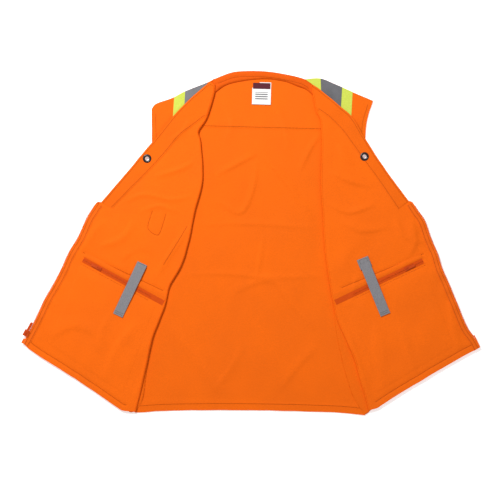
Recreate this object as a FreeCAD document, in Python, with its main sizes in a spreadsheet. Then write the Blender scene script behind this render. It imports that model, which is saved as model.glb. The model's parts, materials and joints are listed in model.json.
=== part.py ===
"""Surveyor's safety vest, laid open on its back with both fronts turned out.

X runs across the vest, Y from the hem (-) to the collar (+), Z up from the table. The origin is on the
table, midway between hem and collar. Widths are measured from the middle line, and lengths are measured
up from the hem: every outline is drawn that way, and its body is then moved down by half the length.

Three layers lie on each other: the back panel, the side of each front that stays down beside the
armhole, and the rest of each front, which is turned out about a straight fold line. What is sewn to a
front's outer face is drawn as it lies when the vest is closed, and turned out with it.
"""
import FreeCAD, Part
import math
import os
import Sketcher

DIMENSIONS = {
    # whole vest
    "body_length": 768,
    "cloth": 1.2,
    "tape_cloth": 0.4,
    "turn_in": 2,
    # heights above the table of each layer's underside
    "back_level": 0.8,
    "side_level": 2.0,
    "label_level": 2.4,
    "front_level": 7.0,
    "fold_level": 8.2,
    "strap_level": 12.4,
    # fold line of each front, from the hem to the neck
    "fold_foot_x": 272,
    "fold_top_x": 99,
    "fold_top_y": 720,
    "fold_gap": 1.5,
    # how far each front lies pulled up along its fold line
    "left_slide": -12,
    "right_slide": 6,
    # back and side of the front
    "seam_foot_x": 282,
    "underarm_x": 290,
    "underarm_y": 394,
    "shoulder_x": 247,
    "shoulder_y": 692,
    "neck_x": 118,
    "neck_y": 742,
    "back_armhole_radius": 360,
    "front_armhole_radius": 235,
    "collar_half": 100,
    "collar_y": 718,
    "collar_height": 28,
    "collar_thickness": 2.4,
    "collar_inner_radius": 220,
    "collar_outer_radius": 238,
    "binding_width": 11,
    "binding_top_y": 360,
    # reflective bands: a lime band with a silver tape along its middle
    "band_width": 100,
    "silver_width": 50,
    "brace_x": 101,
    "waist_y": 270,
    "waist_half": 278,
    "brace_top_y": 700,
    "band_from_fold": 4,
    "silver_from_fold": 5,
    "band_from_middle": 8,
    "shoulder_band_drop": 10,
    # neck label
    "label_x": 7,
    "label_top_y": 738,
    "label_width": 42,
    "label_length": 50,
    "header_length": 15,
    # turned-out front
    "edge_foot_x": 507,
    "edge_foot_y": 147,
    "edge_top_x": 344,
    "edge_top_y": 468,
    "chest_x": 175,
    "chest_y": 685,
    "lapel_x": 112,
    "lapel_y": 728,
    "panel_top_drop": 4,
    "facing_cloth": 0.8,
    "facing_fold_y": 655,
    "facing_end_x": 306,
    "facing_end_y": 469,
    "facing_tip_x": 332,
    "facing_tip_y": 480,
    # grommet
    "grommet_x": 243,
    "grommet_y": 571,
    "grommet_radius": 4.76,
    "barrel_radius": 5.6,
    "grommet_clearance": 0.2,
    "flange_radius": 9.8,
    "washer_radius": 9.2,
    "flange_thickness": 0.8,
    # main zip, from the hem end up, leaning inwards
    "zip_foot_x": 514,
    "zip_foot_y": 151,
    "zip_length": 360,
    "zip_lean": 26.92,
    "zip_tape_width": 16,
    "coil_radius": 1.3,
    "box_length": 11,
    "box_width": 8,
    "box_thickness": 4,
    "pin_length": 30,
    "stop_length": 4,
    "main_slider_at": 24,
    "main_slider_length": 14,
    "main_slider_width": 12,
    "main_pull_length": 28,
    "slider_plate": 1.0,
    "slider_gap": 0.3,
    # inner pocket, from the outer end of its zip inwards
    "pocket_x": 380,
    "pocket_y": 340,
    "pocket_zip_length": 172,
    "pocket_slope": 26.57,
    "pocket_tape_width": 14,
    "pocket_coil_radius": 0.8,
    "pocket_slider_at": 40,
    "pocket_slider_length": 11,
    "pocket_slider_width": 8,
    "pocket_slider_plate": 0.5,
    "pocket_pull_length": 20,
    "pull_width": 6,
    "pull_thickness": 0.7,
    "pull_hole_radius": 1.6,
    "arc_slack": 0.01,
    "welt_width": 12,
    "bag_cloth": 0.7,
    "bag_from_tape": 1,
    "bag_outer_x": 455,
    "bag_outer_y": 150,
    "bag_inner_x": 283,
    "bag_inner_y": 42,
    # grey strap across the pocket zip
    "strap_x": 248,
    "strap_y": 334,
    "strap_lean": 23.7,
    "strap_length": 130,
    "strap_width": 25,
    "strap_thickness": 0.8,
    "patch_size": 28,
    # pockets on the outer face, as they lie when the vest is closed
    "cargo_x": 30,
    "cargo_y": 40,
    "cargo_width": 170,
    "cargo_length": 192,
    "cargo_thickness": 1.6,
    "flap_length": 48,
    "flap_thickness": 0.6,
    "pen_x": 28,
    "pen_y": 380,
    "pen_width": 70,
    "pen_length": 95,
}

SIDES = {"left": -1, "right": 1}
TURNED_OVER = 180
FOLD_LEAN = "atan((Dims.fold_foot_x - Dims.fold_top_x) / Dims.fold_top_y)"

doc = FreeCAD.newDocument("vest")
sheet = doc.addObject("Spreadsheet::Sheet", "Dims")
for row, (alias, number) in enumerate(DIMENSIONS.items(), start=1):
    sheet.set(f"A{row}", alias)
    sheet.set(f"B{row}", str(number))
    sheet.setAlias(f"B{row}", alias)
doc.recompute()

parts = []


def worth(expression):
    """The number that an expression on the sheet comes to."""
    return float(sheet.evalExpression(str(expression)))


def size(alias):
    """A driving dimension's number."""
    return float(sheet.get(alias))


# ---------------------------------------------------------------- ways of making a piece


def new_body(name):
    """An empty body that becomes the file of that name."""
    body = doc.addObject("PartDesign::Body", name)
    body.Label = name
    parts.append(body)
    return body


def new_sketch(body, role):
    """A sketch on one of its body's own origin planes."""
    sketch = body.newObject("Sketcher::SketchObject", f"{body.Name}_{role}_{len(body.Group)}")
    plane = next(f for f in body.Origin.OriginFeatures if f.Role == role)
    sketch.AttachmentSupport = (plane, [""])
    sketch.MapMode = "FlatFace"
    return sketch


def arc_between(start, end, radius, left_of_travel):
    """The short arc from start to end, and whether it runs anticlockwise, as sketches store arcs."""
    along = end - start
    half = along.Length / 2
    rise = radius - math.sqrt(radius**2 - half**2)
    side = 1 if left_of_travel else -1
    sideways = FreeCAD.Vector(-along.y, along.x, 0).normalize() * (rise * side)
    middle = (start + end) / 2 + sideways
    anticlockwise = not left_of_travel
    first, last = (start, end) if anticlockwise else (end, start)
    return Part.Arc(first, middle, last), anticlockwise


def draw_outline(sketch, corners, side=1):
    """A closed outline. A corner is (x, y), or (x, y, radius, turn) where the edge that leaves it is an
    arc: turn is 1 where the arc lies to the left of its travel, and -1 to the right. Every number is an
    expression on the sheet; side -1 mirrors the outline to the left."""
    points = [FreeCAD.Vector(side * worth(c[0]), worth(c[1]), 0) for c in corners]
    ends = []
    for n, corner in enumerate(corners):
        start, end = points[n], points[(n + 1) % len(points)]
        if len(corner) == 2:
            sketch.addGeometry(Part.LineSegment(start, end))
            ends.append((1, 2))
            continue
        arc, anticlockwise = arc_between(start, end, worth(corner[2]), corner[3] * side > 0)
        sketch.addGeometry(arc)
        ends.append((1, 2) if anticlockwise else (2, 1))
    for n, corner in enumerate(corners):
        following = (n + 1) % len(corners)
        at_end = ends[n][1]
        at_start = ends[following][0]
        sketch.addConstraint(Sketcher.Constraint("Coincident", n, at_end, following, at_start))
    for n, corner in enumerate(corners):
        here = points[n]
        across = sketch.addConstraint(Sketcher.Constraint("DistanceX", -1, 1, n, ends[n][0], here.x))
        sketch.setExpression(f"Constraints[{across}]", f"{side} * ({corner[0]})")
        upward = sketch.addConstraint(Sketcher.Constraint("DistanceY", -1, 1, n, ends[n][0], here.y))
        sketch.setExpression(f"Constraints[{upward}]", f"{corner[1]}")
        if len(corner) > 2:
            round_ = sketch.addConstraint(Sketcher.Constraint("Radius", n, worth(corner[2])))
            sketch.setExpression(f"Constraints[{round_}]", str(corner[2]))


def draw_circle(sketch, x, y, radius, side=1):
    """A circle, drawn inside an outline for a hole or alone for a disc."""
    centre = FreeCAD.Vector(side * worth(x), worth(y), 0)
    circle = Part.Circle(centre, FreeCAD.Vector(0, 0, 1), worth(radius))
    n = sketch.addGeometry(circle)
    across = sketch.addConstraint(Sketcher.Constraint("DistanceX", -1, 1, n, 3, centre.x))
    sketch.setExpression(f"Constraints[{across}]", f"{side} * ({x})")
    upward = sketch.addConstraint(Sketcher.Constraint("DistanceY", -1, 1, n, 3, centre.y))
    sketch.setExpression(f"Constraints[{upward}]", f"{y}")
    round_ = sketch.addConstraint(Sketcher.Constraint("Radius", n, worth(radius)))
    sketch.setExpression(f"Constraints[{round_}]", str(radius))


def pad(body, sketch, length):
    """Give a closed sketch its thickness."""
    feature = body.newObject("PartDesign::Pad", f"{body.Name}_pad_{len(body.Group)}")
    feature.Profile = sketch
    feature.setExpression("Length", length)
    sketch.Visibility = False
    return feature


def sheet_piece(name, corners, thickness, side=1, holes=()):
    """A flat piece of cloth, tape or plate, drawn flat on its own XY plane."""
    body = new_body(name)
    sketch = new_sketch(body, "XY_Plane")
    draw_outline(sketch, corners, side)
    for x, y, radius in holes:
        draw_circle(sketch, x, y, radius, side)
    pad(body, sketch, thickness)
    return body


def lay(body, level):
    """Lay a piece drawn from the hem at its height above the table."""
    body.setExpression("Placement.Base.y", "-Dims.body_length / 2")
    body.setExpression("Placement.Base.z", level)


def lay_on_front(body, name, side, level):
    """Lay a piece of a front, which goes with that front along its fold line."""
    slide = f"Dims.{name}_slide * cos({FOLD_LEAN})"
    body.setExpression("Placement.Base.x", f"{-side} * Dims.{name}_slide * sin({FOLD_LEAN})")
    body.setExpression("Placement.Base.y", f"{slide} - Dims.body_length / 2")
    body.setExpression("Placement.Base.z", level)


def slide_with(side):
    """The move along its fold line that a front, and all that is sewn to it, has made."""
    name = "left" if side < 0 else "right"
    lean = math.radians(worth(FOLD_LEAN))
    slide = size(f"{name}_slide")
    return FreeCAD.Vector(-side * slide * math.sin(lean), slide * math.cos(lean), 0)


def from_hem(x, y, z=0):
    """A point given from the hem, in the vest's own frame."""
    return FreeCAD.Vector(x, y - size("body_length") / 2, z)


def turned_out(side):
    """The half turn about a front's fold line that takes it from closed to turned out."""
    foot = from_hem(side * size("fold_foot_x"), 0, size("fold_level"))
    top = from_hem(side * size("fold_top_x"), size("fold_top_y"), size("fold_level"))
    turn = FreeCAD.Rotation(top - foot, TURNED_OVER)
    return FreeCAD.Placement(foot - turn.multVec(foot), turn)


def sew_outside(body, side, above_cloth):
    """Put a piece drawn as the closed vest shows it on the outer face of a turned-out front."""
    level = size("fold_level") + size("cloth") + worth(above_cloth)
    closed = FreeCAD.Placement(from_hem(0, 0, level) + slide_with(side), FreeCAD.Rotation())
    body.Placement = turned_out(side) * closed


def place_along(body, x, y, degrees, side, level=0):
    """Put a piece of a front, drawn along its own X, at a point from the hem, turned to a direction.

    degrees is the direction on the right side; the left side is its mirror image."""
    direction = degrees if side > 0 else 180 - degrees
    turn = FreeCAD.Rotation(FreeCAD.Vector(0, 0, 1), direction)
    body.Placement = FreeCAD.Placement(from_hem(side * size(x), size(y), level) + slide_with(side), turn)


def shift_along(body, distance):
    """Move a placed piece along its own X."""
    body.Placement = body.Placement * FreeCAD.Placement(FreeCAD.Vector(distance, 0, 0), FreeCAD.Rotation())


def rod(name, radius, length):
    """A round bar along X, as a cylinder; its placement comes with place_rod."""
    bar = doc.addObject("Part::Cylinder", name)
    bar.Label = name
    bar.setExpression("Radius", radius)
    bar.setExpression("Height", length)
    parts.append(bar)
    return bar


def place_rod(bar, x, y, degrees, side, along, inward, height):
    """Lay a rod on a zip: along it from its end, inward from its edge, at a height."""
    direction = degrees if side > 0 else 180 - degrees
    turn = FreeCAD.Rotation(FreeCAD.Vector(0, 0, 1), direction)
    tip_over = FreeCAD.Rotation(FreeCAD.Vector(0, 1, 0), 90)
    offset = turn.multVec(FreeCAD.Vector(along, inward * side, height))
    start = from_hem(side * size(x), size(y)) + slide_with(side)
    bar.Placement = FreeCAD.Placement(start + offset, turn * tip_over)


# ---------------------------------------------------------------- back and shoulders

FOLD_SLOPE = "(Dims.fold_foot_x - Dims.fold_top_x) / Dims.fold_top_y"
SILVER_INSET = "(Dims.band_width - Dims.silver_width) / 2"


def fold_x(height, outward):
    """Width from the middle to a fold line at a height above the hem, moved outward."""
    return f"(Dims.fold_foot_x - ({height}) * {FOLD_SLOPE} + ({outward}))"


def both_sides(right):
    """A symmetrical outline from its right half, listed from the bottom up."""
    left = [(f"-1 * ({c[0]})", c[1]) for c in reversed(right)]
    return list(right) + left


def make_back_panel():
    """The whole back in one piece, to the side seams, armholes, shoulders and neck."""
    corners = [
        ("-Dims.seam_foot_x", "0"),
        ("Dims.seam_foot_x", "0"),
        ("Dims.underarm_x", "Dims.underarm_y", "Dims.back_armhole_radius", 1),
        ("Dims.shoulder_x", "Dims.shoulder_y"),
        ("Dims.neck_x", "Dims.neck_y"),
        ("Dims.collar_half", "Dims.neck_y", "Dims.collar_inner_radius", -1),
        ("-Dims.collar_half", "Dims.neck_y"),
        ("-Dims.neck_x", "Dims.neck_y"),
        ("-Dims.shoulder_x", "Dims.shoulder_y", "Dims.back_armhole_radius", 1),
        ("-Dims.underarm_x", "Dims.underarm_y"),
    ]
    lay(sheet_piece("back_panel", corners, "Dims.cloth"), "Dims.back_level")


def make_collar():
    """The padded band round the back of the neck."""
    top = "Dims.collar_y + Dims.collar_height"
    corners = [
        ("-Dims.collar_half", "Dims.collar_y", "Dims.collar_inner_radius", 1),
        ("Dims.collar_half", "Dims.collar_y"),
        ("Dims.collar_half", top, "Dims.collar_outer_radius", -1),
        ("-Dims.collar_half", top),
    ]
    lay(sheet_piece("collar", corners, "Dims.collar_thickness"), "Dims.side_level")


def band_outline(inset):
    """The braces and waist band of the back's outer face, narrowed by inset on both edges."""
    low = f"Dims.waist_y + {inset}"
    high = f"Dims.waist_y + Dims.band_width - {inset}"
    near = f"Dims.brace_x + {inset}"
    far = f"Dims.brace_x + Dims.band_width - {inset}"
    right = [
        ("Dims.waist_half", low),
        ("Dims.waist_half", high),
        (far, high),
        (far, "Dims.brace_top_y"),
        (near, "Dims.brace_top_y"),
        (near, high),
    ]
    return both_sides(right)


def make_back_bands():
    """The lime bands under the back panel, with the silver tape under them."""
    lime = sheet_piece("back_contrast_bands", band_outline("0"), "Dims.tape_cloth")
    lay(lime, "Dims.back_level - Dims.tape_cloth")
    silver = sheet_piece("back_reflective_tapes", band_outline(SILVER_INSET), "Dims.tape_cloth")
    lay(silver, "Dims.back_level - 2 * Dims.tape_cloth")


def shoulder_at(x):
    """Height above the hem of the shoulder seam at a width from the middle, less a small turn-in."""
    drop = "(Dims.neck_y - Dims.shoulder_y) / (Dims.shoulder_x - Dims.neck_x)"
    return f"(Dims.neck_y - (({x}) - Dims.neck_x) * {drop} - Dims.turn_in)"


def fold_height(x, outward):
    """Height above the hem at which a fold line, moved outward, reaches a width."""
    return f"((Dims.fold_foot_x + ({outward}) - ({x})) / ({FOLD_SLOPE}))"


def make_side(name, side):
    """The side of a front that stays down: outside up, from the fold line to the armhole."""
    corners = [
        (fold_x("0", "Dims.fold_gap"), "0"),
        ("Dims.seam_foot_x", "0"),
        ("Dims.underarm_x", "Dims.underarm_y", "Dims.front_armhole_radius", 1),
        ("Dims.shoulder_x", "Dims.shoulder_y"),
        ("Dims.neck_x", "Dims.neck_y"),
        (fold_x("Dims.fold_top_y", "Dims.fold_gap"), "Dims.fold_top_y"),
    ]
    lay(sheet_piece(f"{name}_side_front", corners, "Dims.cloth", side), "Dims.side_level")

    binding = [
        (fold_x("Dims.turn_in", "-Dims.fold_gap"), "Dims.turn_in"),
        (fold_x("Dims.binding_top_y", "-Dims.fold_gap"), "Dims.binding_top_y"),
        (fold_x("Dims.binding_top_y", "-Dims.binding_width"), "Dims.binding_top_y"),
        (fold_x("Dims.turn_in", "-Dims.binding_width"), "Dims.turn_in"),
    ]
    lay(sheet_piece(f"{name}_side_seam_binding", binding, "Dims.tape_cloth", side), "Dims.side_level")


def make_shoulder_bands(name, side):
    """The lime band over a shoulder and the silver tape along its middle."""
    clear = "Dims.band_from_fold"
    top = "Dims.fold_top_y - Dims.shoulder_band_drop"
    far = "Dims.brace_x + Dims.band_width"
    lime = [
        (far, fold_height(far, clear)),
        (far, shoulder_at(far)),
        ("Dims.neck_x", shoulder_at("Dims.neck_x")),
        (fold_x(top, clear), top),
    ]
    level = "Dims.side_level + Dims.cloth"
    lay(sheet_piece(f"{name}_shoulder_contrast", lime, "Dims.tape_cloth", side), level)

    inner = f"Dims.brace_x + {SILVER_INSET}"
    outer = f"Dims.brace_x + Dims.band_width - {SILVER_INSET}"
    silver = [
        (outer, fold_height(outer, clear)),
        (outer, shoulder_at(outer)),
        (inner, shoulder_at(inner)),
        (inner, fold_height(inner, clear)),
    ]
    piece = sheet_piece(f"{name}_shoulder_reflective", silver, "Dims.tape_cloth", side)
    lay(piece, f"{level} + Dims.tape_cloth")


def make_label():
    """The care label at the neck, sewn along its top edge, with a plain header strip on it."""
    left = "Dims.label_x - Dims.label_width / 2"
    right = "Dims.label_x + Dims.label_width / 2"

    def strip(length):
        low = f"Dims.label_top_y - {length}"
        return [(left, low), (right, low), (right, "Dims.label_top_y"), (left, "Dims.label_top_y")]

    lay(sheet_piece("care_label", strip("Dims.label_length"), "Dims.tape_cloth"), "Dims.label_level")
    header = sheet_piece("label_header", strip("Dims.header_length"), "Dims.tape_cloth")
    lay(header, "Dims.label_level + Dims.tape_cloth")


# ---------------------------------------------------------------- turned-out fronts

GROMMET_HOLE = ("Dims.grommet_x", "Dims.grommet_y", "Dims.barrel_radius + Dims.grommet_clearance")


def make_front_cloth(name, side):
    """The front panel, inside up, and the facing along its V edge; both have the grommet's hole."""
    foot = f"Dims.turn_in - Dims.{name}_slide"
    top = "Dims.fold_top_y - Dims.panel_top_drop"
    panel = [
        (fold_x(foot, "Dims.fold_gap"), foot),
        ("Dims.edge_foot_x", "Dims.edge_foot_y"),
        ("Dims.edge_top_x", "Dims.edge_top_y"),
        ("Dims.chest_x", "Dims.chest_y"),
        ("Dims.lapel_x", "Dims.lapel_y"),
        (fold_x(top, "Dims.fold_gap"), top),
    ]
    piece = sheet_piece(f"{name}_front_panel", panel, "Dims.cloth", side, [GROMMET_HOLE])
    lay_on_front(piece, name, side, "Dims.front_level")

    facing = [
        ("Dims.facing_end_x", "Dims.facing_end_y"),
        ("Dims.facing_tip_x", "Dims.facing_tip_y"),
        ("Dims.chest_x", "Dims.chest_y"),
        ("Dims.lapel_x", "Dims.lapel_y"),
        (fold_x(top, "Dims.fold_gap"), top),
        (fold_x("Dims.facing_fold_y", "Dims.fold_gap"), "Dims.facing_fold_y"),
    ]
    piece = sheet_piece(f"{name}_neck_facing", facing, "Dims.facing_cloth", side, [GROMMET_HOLE])
    lay_on_front(piece, name, side, "Dims.fold_level")


def make_grommet(name, side):
    """An eyelet pressed through the facing and the panel, and the washer that it is set in."""
    eyelet = new_body(f"{name}_grommet_eyelet")
    barrel = new_sketch(eyelet, "XY_Plane")
    draw_circle(barrel, "0", "0", "Dims.barrel_radius")
    draw_circle(barrel, "0", "0", "Dims.grommet_radius")
    through = "2 * Dims.flange_thickness + Dims.cloth + Dims.facing_cloth"
    pad(eyelet, barrel, through)
    flange = new_sketch(eyelet, "XY_Plane")
    flange.setExpression("AttachmentOffset.Base.z", f"{through} - Dims.flange_thickness")
    draw_circle(flange, "0", "0", "Dims.flange_radius")
    draw_circle(flange, "0", "0", "Dims.grommet_radius")
    pad(eyelet, flange, "Dims.flange_thickness")
    level = size("front_level") - size("flange_thickness")
    place_along(eyelet, "grommet_x", "grommet_y", 0, side, level)

    washer = new_body(f"{name}_grommet_washer")
    ring = new_sketch(washer, "XY_Plane")
    draw_circle(ring, "0", "0", "Dims.washer_radius")
    draw_circle(ring, "0", "0", "Dims.barrel_radius")
    pad(washer, ring, "Dims.flange_thickness")
    place_along(washer, "grommet_x", "grommet_y", 0, side, level)


def block_outline(start, end, inner, outer):
    """A rectangle along a piece's own X, from inner to outer across it."""
    return [(start, inner), (end, inner), (end, outer), (start, outer)]


def place_on_zip(body, side, level=0):
    """Put a piece drawn along the main zip on its front's edge."""
    place_along(body, "zip_foot_x", "zip_foot_y", 90 + size("zip_lean"), side, level)


def make_main_zip(name, side):
    """Half of the main zip: the tape sewn to the front's edge, its coil and its top stop."""
    edge = "2 * Dims.coil_radius"
    coil_foot = "Dims.box_length" if side < 0 else "Dims.pin_length"
    tape = [
        ("Dims.box_length", f"{side} * ({edge})"),
        ("Dims.zip_length", f"{side} * ({edge})"),
        ("Dims.zip_length", f"{side} * Dims.zip_tape_width"),
        ("0", f"{side} * Dims.zip_tape_width"),
        ("0", f"{side} * Dims.box_width"),
        ("Dims.box_length", f"{side} * Dims.box_width"),
    ]
    piece = sheet_piece(f"{name}_zip_tape", tape, "Dims.facing_cloth")
    place_on_zip(piece, side, size("fold_level"))

    coil = rod(f"{name}_zip_coil", "Dims.coil_radius", f"Dims.zip_length - Dims.stop_length - {coil_foot}")
    height = size("fold_level") + size("facing_cloth") / 2
    place_rod(coil, "zip_foot_x", "zip_foot_y", 90 + size("zip_lean"), side,
              worth(coil_foot), size("coil_radius"), height)

    stop = block_outline("Dims.zip_length - Dims.stop_length", "Dims.zip_length", "0", f"{side} * ({edge})")
    piece = sheet_piece(f"{name}_zip_top_stop", stop, "Dims.box_thickness")
    place_on_zip(piece, side, height - size("box_thickness") / 2)


def make_zip_box():
    """The retainer box at the foot of the left half, and the pin at the foot of the right half."""
    middle = size("fold_level") + size("facing_cloth") / 2
    left = SIDES["left"]
    outline = block_outline("0", "Dims.box_length", "0", f"{left} * Dims.box_width")
    box = sheet_piece("zip_retainer_box", outline, "Dims.box_thickness")
    place_on_zip(box, left, middle - size("box_thickness") / 2)

    right = SIDES["right"]
    pin = rod("zip_insertion_pin", "Dims.coil_radius", "Dims.pin_length")
    place_rod(pin, "zip_foot_x", "zip_foot_y", 90 + size("zip_lean"), right,
              0, size("coil_radius"), middle)


def pull_outline(length):
    """A pull tab along X, square where it hangs and round at its far end; the round end's radius has
    a little slack over half the width, because an arc is the shorter way between its ends."""
    half = "Dims.pull_width / 2"
    return [
        ("0", f"-1 * {half}"),
        (f"{length} - {half}", f"-1 * {half}", f"{half} + Dims.arc_slack", -1),
        (f"{length} - {half}", half),
        ("0", half),
    ]


PULL_HOLE = ("Dims.pull_width / 2", "0", "Dims.pull_hole_radius")


def make_main_slider():
    """The main zip's slider on the left coil: two plates joined by a post, and its pull tab."""
    left = SIDES["left"]
    middle = size("fold_level") + size("facing_cloth") / 2
    slider = new_body("main_zip_slider")
    section = new_sketch(slider, "YZ_Plane")
    wide = "Dims.main_slider_width / 2"
    inside = "(Dims.coil_radius + Dims.slider_gap)"
    outside = f"({inside} + Dims.slider_plate)"
    post_near = "-1 * Dims.slider_gap"
    post_far = "-1 * (Dims.slider_gap + 2 * Dims.slider_plate)"
    corners = [
        (f"-1 * {wide}", f"-1 * {outside}"),
        (wide, f"-1 * {outside}"),
        (wide, f"-1 * {inside}"),
        (post_near, f"-1 * {inside}"),
        (post_near, inside),
        (wide, inside),
        (wide, outside),
        (f"-1 * {wide}", outside),
        (f"-1 * {wide}", inside),
        (post_far, inside),
        (post_far, f"-1 * {inside}"),
        (f"-1 * {wide}", f"-1 * {inside}"),
    ]
    draw_outline(section, corners, left)
    pad(slider, section, "Dims.main_slider_length")
    place_on_zip(slider, left, middle)
    shift_along(slider, size("main_slider_at") - size("main_slider_length") / 2)

    outline = pull_outline("Dims.main_pull_length")
    pull = sheet_piece("main_zip_pull", outline, "Dims.pull_thickness", 1, [PULL_HOLE])
    top = middle + worth(outside) + size("slider_gap")
    place_on_zip(pull, left, top)
    shift_along(pull, size("main_slider_at"))


# ---------------------------------------------------------------- inner pocket and strap


def place_on_pocket(body, side, level, along=0):
    """Put a piece drawn along the pocket zip on it, from the zip's outer end."""
    place_along(body, "pocket_x", "pocket_y", 180 + size("pocket_slope"), side, level)
    shift_along(body, along)


def make_inner_pocket(name, side):
    """The pocket bag on the inner face, the welt above its zip, and the zip itself."""
    half = "Dims.pocket_tape_width / 2"
    reach = "(Dims.pocket_tape_width / 2 + Dims.bag_from_tape)"
    cosine = "cos(Dims.pocket_slope * 1 deg)"
    sine = "sin(Dims.pocket_slope * 1 deg)"
    end_x = f"Dims.pocket_x - Dims.pocket_zip_length * {cosine} + {reach} * {sine}"
    end_y = f"Dims.pocket_y - Dims.pocket_zip_length * {sine} - {reach} * {cosine}"
    bag = [
        ("Dims.bag_inner_x", "Dims.bag_inner_y"),
        ("Dims.bag_outer_x", "Dims.bag_outer_y"),
        (f"Dims.pocket_x + {reach} * {sine}", f"Dims.pocket_y - {reach} * {cosine}"),
        (end_x, end_y),
    ]
    piece = sheet_piece(f"{name}_inner_pocket_bag", bag, "Dims.bag_cloth", side)
    lay_on_front(piece, name, side, "Dims.fold_level")

    welt_edge = f"{-side} * {half}"
    welt_far_edge = f"{-side} * ({half} + Dims.welt_width)"
    welt = block_outline("0", "Dims.pocket_zip_length", welt_edge, welt_far_edge)
    piece = sheet_piece(f"{name}_pocket_welt", welt, "Dims.bag_cloth")
    place_on_pocket(piece, side, size("fold_level"))

    tape = block_outline("0", "Dims.pocket_zip_length", f"-1 * {half}", half)
    piece = sheet_piece(f"{name}_pocket_zip_tape", tape, "Dims.tape_cloth")
    place_on_pocket(piece, side, size("fold_level"))

    coil = rod(f"{name}_pocket_zip_coil", "Dims.pocket_coil_radius", "Dims.pocket_zip_length")
    height = size("fold_level") + size("tape_cloth") + size("pocket_coil_radius")
    place_rod(coil, "pocket_x", "pocket_y", 180 + size("pocket_slope"), side, 0, 0, height)


def make_pocket_slider(name, side):
    """A slider that rides over the pocket zip's coil, and its pull tab."""
    slider = new_body(f"{name}_pocket_slider")
    section = new_sketch(slider, "YZ_Plane")
    wide = "Dims.pocket_slider_width / 2"
    channel = "(Dims.pocket_coil_radius + Dims.slider_gap)"
    roof = "(2 * Dims.pocket_coil_radius + Dims.slider_gap)"
    top = f"({roof} + Dims.pocket_slider_plate)"
    corners = [
        (f"-1 * {wide}", "Dims.slider_gap"),
        (f"-1 * {channel}", "Dims.slider_gap"),
        (f"-1 * {channel}", roof),
        (channel, roof),
        (channel, "Dims.slider_gap"),
        (wide, "Dims.slider_gap"),
        (wide, top),
        (f"-1 * {wide}", top),
    ]
    draw_outline(section, corners)
    pad(slider, section, "Dims.pocket_slider_length")
    base = size("fold_level") + size("tape_cloth")
    start = size("pocket_slider_at") - size("pocket_slider_length") / 2
    place_on_pocket(slider, side, base, start)

    outline = pull_outline("Dims.pocket_pull_length")
    pull = sheet_piece(f"{name}_pocket_pull", outline, "Dims.pull_thickness", -1, [PULL_HOLE])
    place_on_pocket(pull, side, base + worth(top) + size("slider_gap"), size("pocket_slider_at"))


def make_strap(name, side):
    """The grey strap that hangs across the pocket zip, and the thick sewn end that it hangs from."""
    direction = size("strap_lean") - 90
    half = "Dims.strap_width / 2"
    strap = block_outline("Dims.turn_in", "Dims.strap_length", f"-1 * {half}", half)
    piece = sheet_piece(f"{name}_pocket_strap", strap, "Dims.strap_thickness")
    place_along(piece, "strap_x", "strap_y", direction, side, size("strap_level"))

    middle = "Dims.patch_size / 2"
    patch = block_outline(f"-1 * {middle}", middle, f"-1 * {middle}", middle)
    tall = "Dims.strap_level - Dims.slider_gap - Dims.fold_level"
    piece = sheet_piece(f"{name}_strap_sewn_end", patch, tall)
    place_along(piece, "strap_x", "strap_y", direction, side, size("fold_level"))


# ---------------------------------------------------------------- outer face of the fronts


def make_front_bands(name, side):
    """The lime band round a front's waist and up its brace, and the silver tape on it."""
    def outline(inset, clear):
        low = f"Dims.waist_y + {inset}"
        high = f"Dims.waist_y + Dims.band_width - {inset}"
        near = f"Dims.brace_x + {inset}"
        tip = f"{near} + Dims.band_from_fold"
        top = fold_height(tip, f"-1 * {clear}")
        return [
            ("Dims.band_from_middle", low),
            (fold_x(low, f"-1 * {clear}"), low),
            (tip, top),
            (near, top),
            (near, high),
            ("Dims.band_from_middle", high),
        ]

    lime_outline = outline("0", "Dims.band_from_fold")
    lime = sheet_piece(f"{name}_front_contrast_bands", lime_outline, "Dims.tape_cloth", side)
    sew_outside(lime, side, "0")
    silver_outline = outline(SILVER_INSET, "Dims.silver_from_fold")
    silver = sheet_piece(f"{name}_front_reflective_tapes", silver_outline, "Dims.tape_cloth", side)
    sew_outside(silver, side, "Dims.tape_cloth")


def make_outer_pockets(name, side):
    """The cargo pocket low on a front, the flap over its mouth, and the pen pocket on the chest."""
    def box(x, y, width, length):
        return [(x, y), (f"{x} + {width}", y), (f"{x} + {width}", f"{y} + {length}"), (x, f"{y} + {length}")]

    cargo = box("Dims.cargo_x", "Dims.cargo_y", "Dims.cargo_width", "Dims.cargo_length")
    piece = sheet_piece(f"{name}_cargo_pocket", cargo, "Dims.cargo_thickness", side)
    sew_outside(piece, side, "0")

    mouth = "Dims.cargo_y + Dims.cargo_length - Dims.flap_length"
    flap = box("Dims.cargo_x", mouth, "Dims.cargo_width", "Dims.flap_length")
    piece = sheet_piece(f"{name}_cargo_flap", flap, "Dims.flap_thickness", side)
    sew_outside(piece, side, "Dims.cargo_thickness")

    pen = box("Dims.pen_x", "Dims.pen_y", "Dims.pen_width", "Dims.pen_length")
    piece = sheet_piece(f"{name}_pen_pocket", pen, "Dims.cargo_thickness", side)
    sew_outside(piece, side, "0")


# ---------------------------------------------------------------- build, check and write


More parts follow.
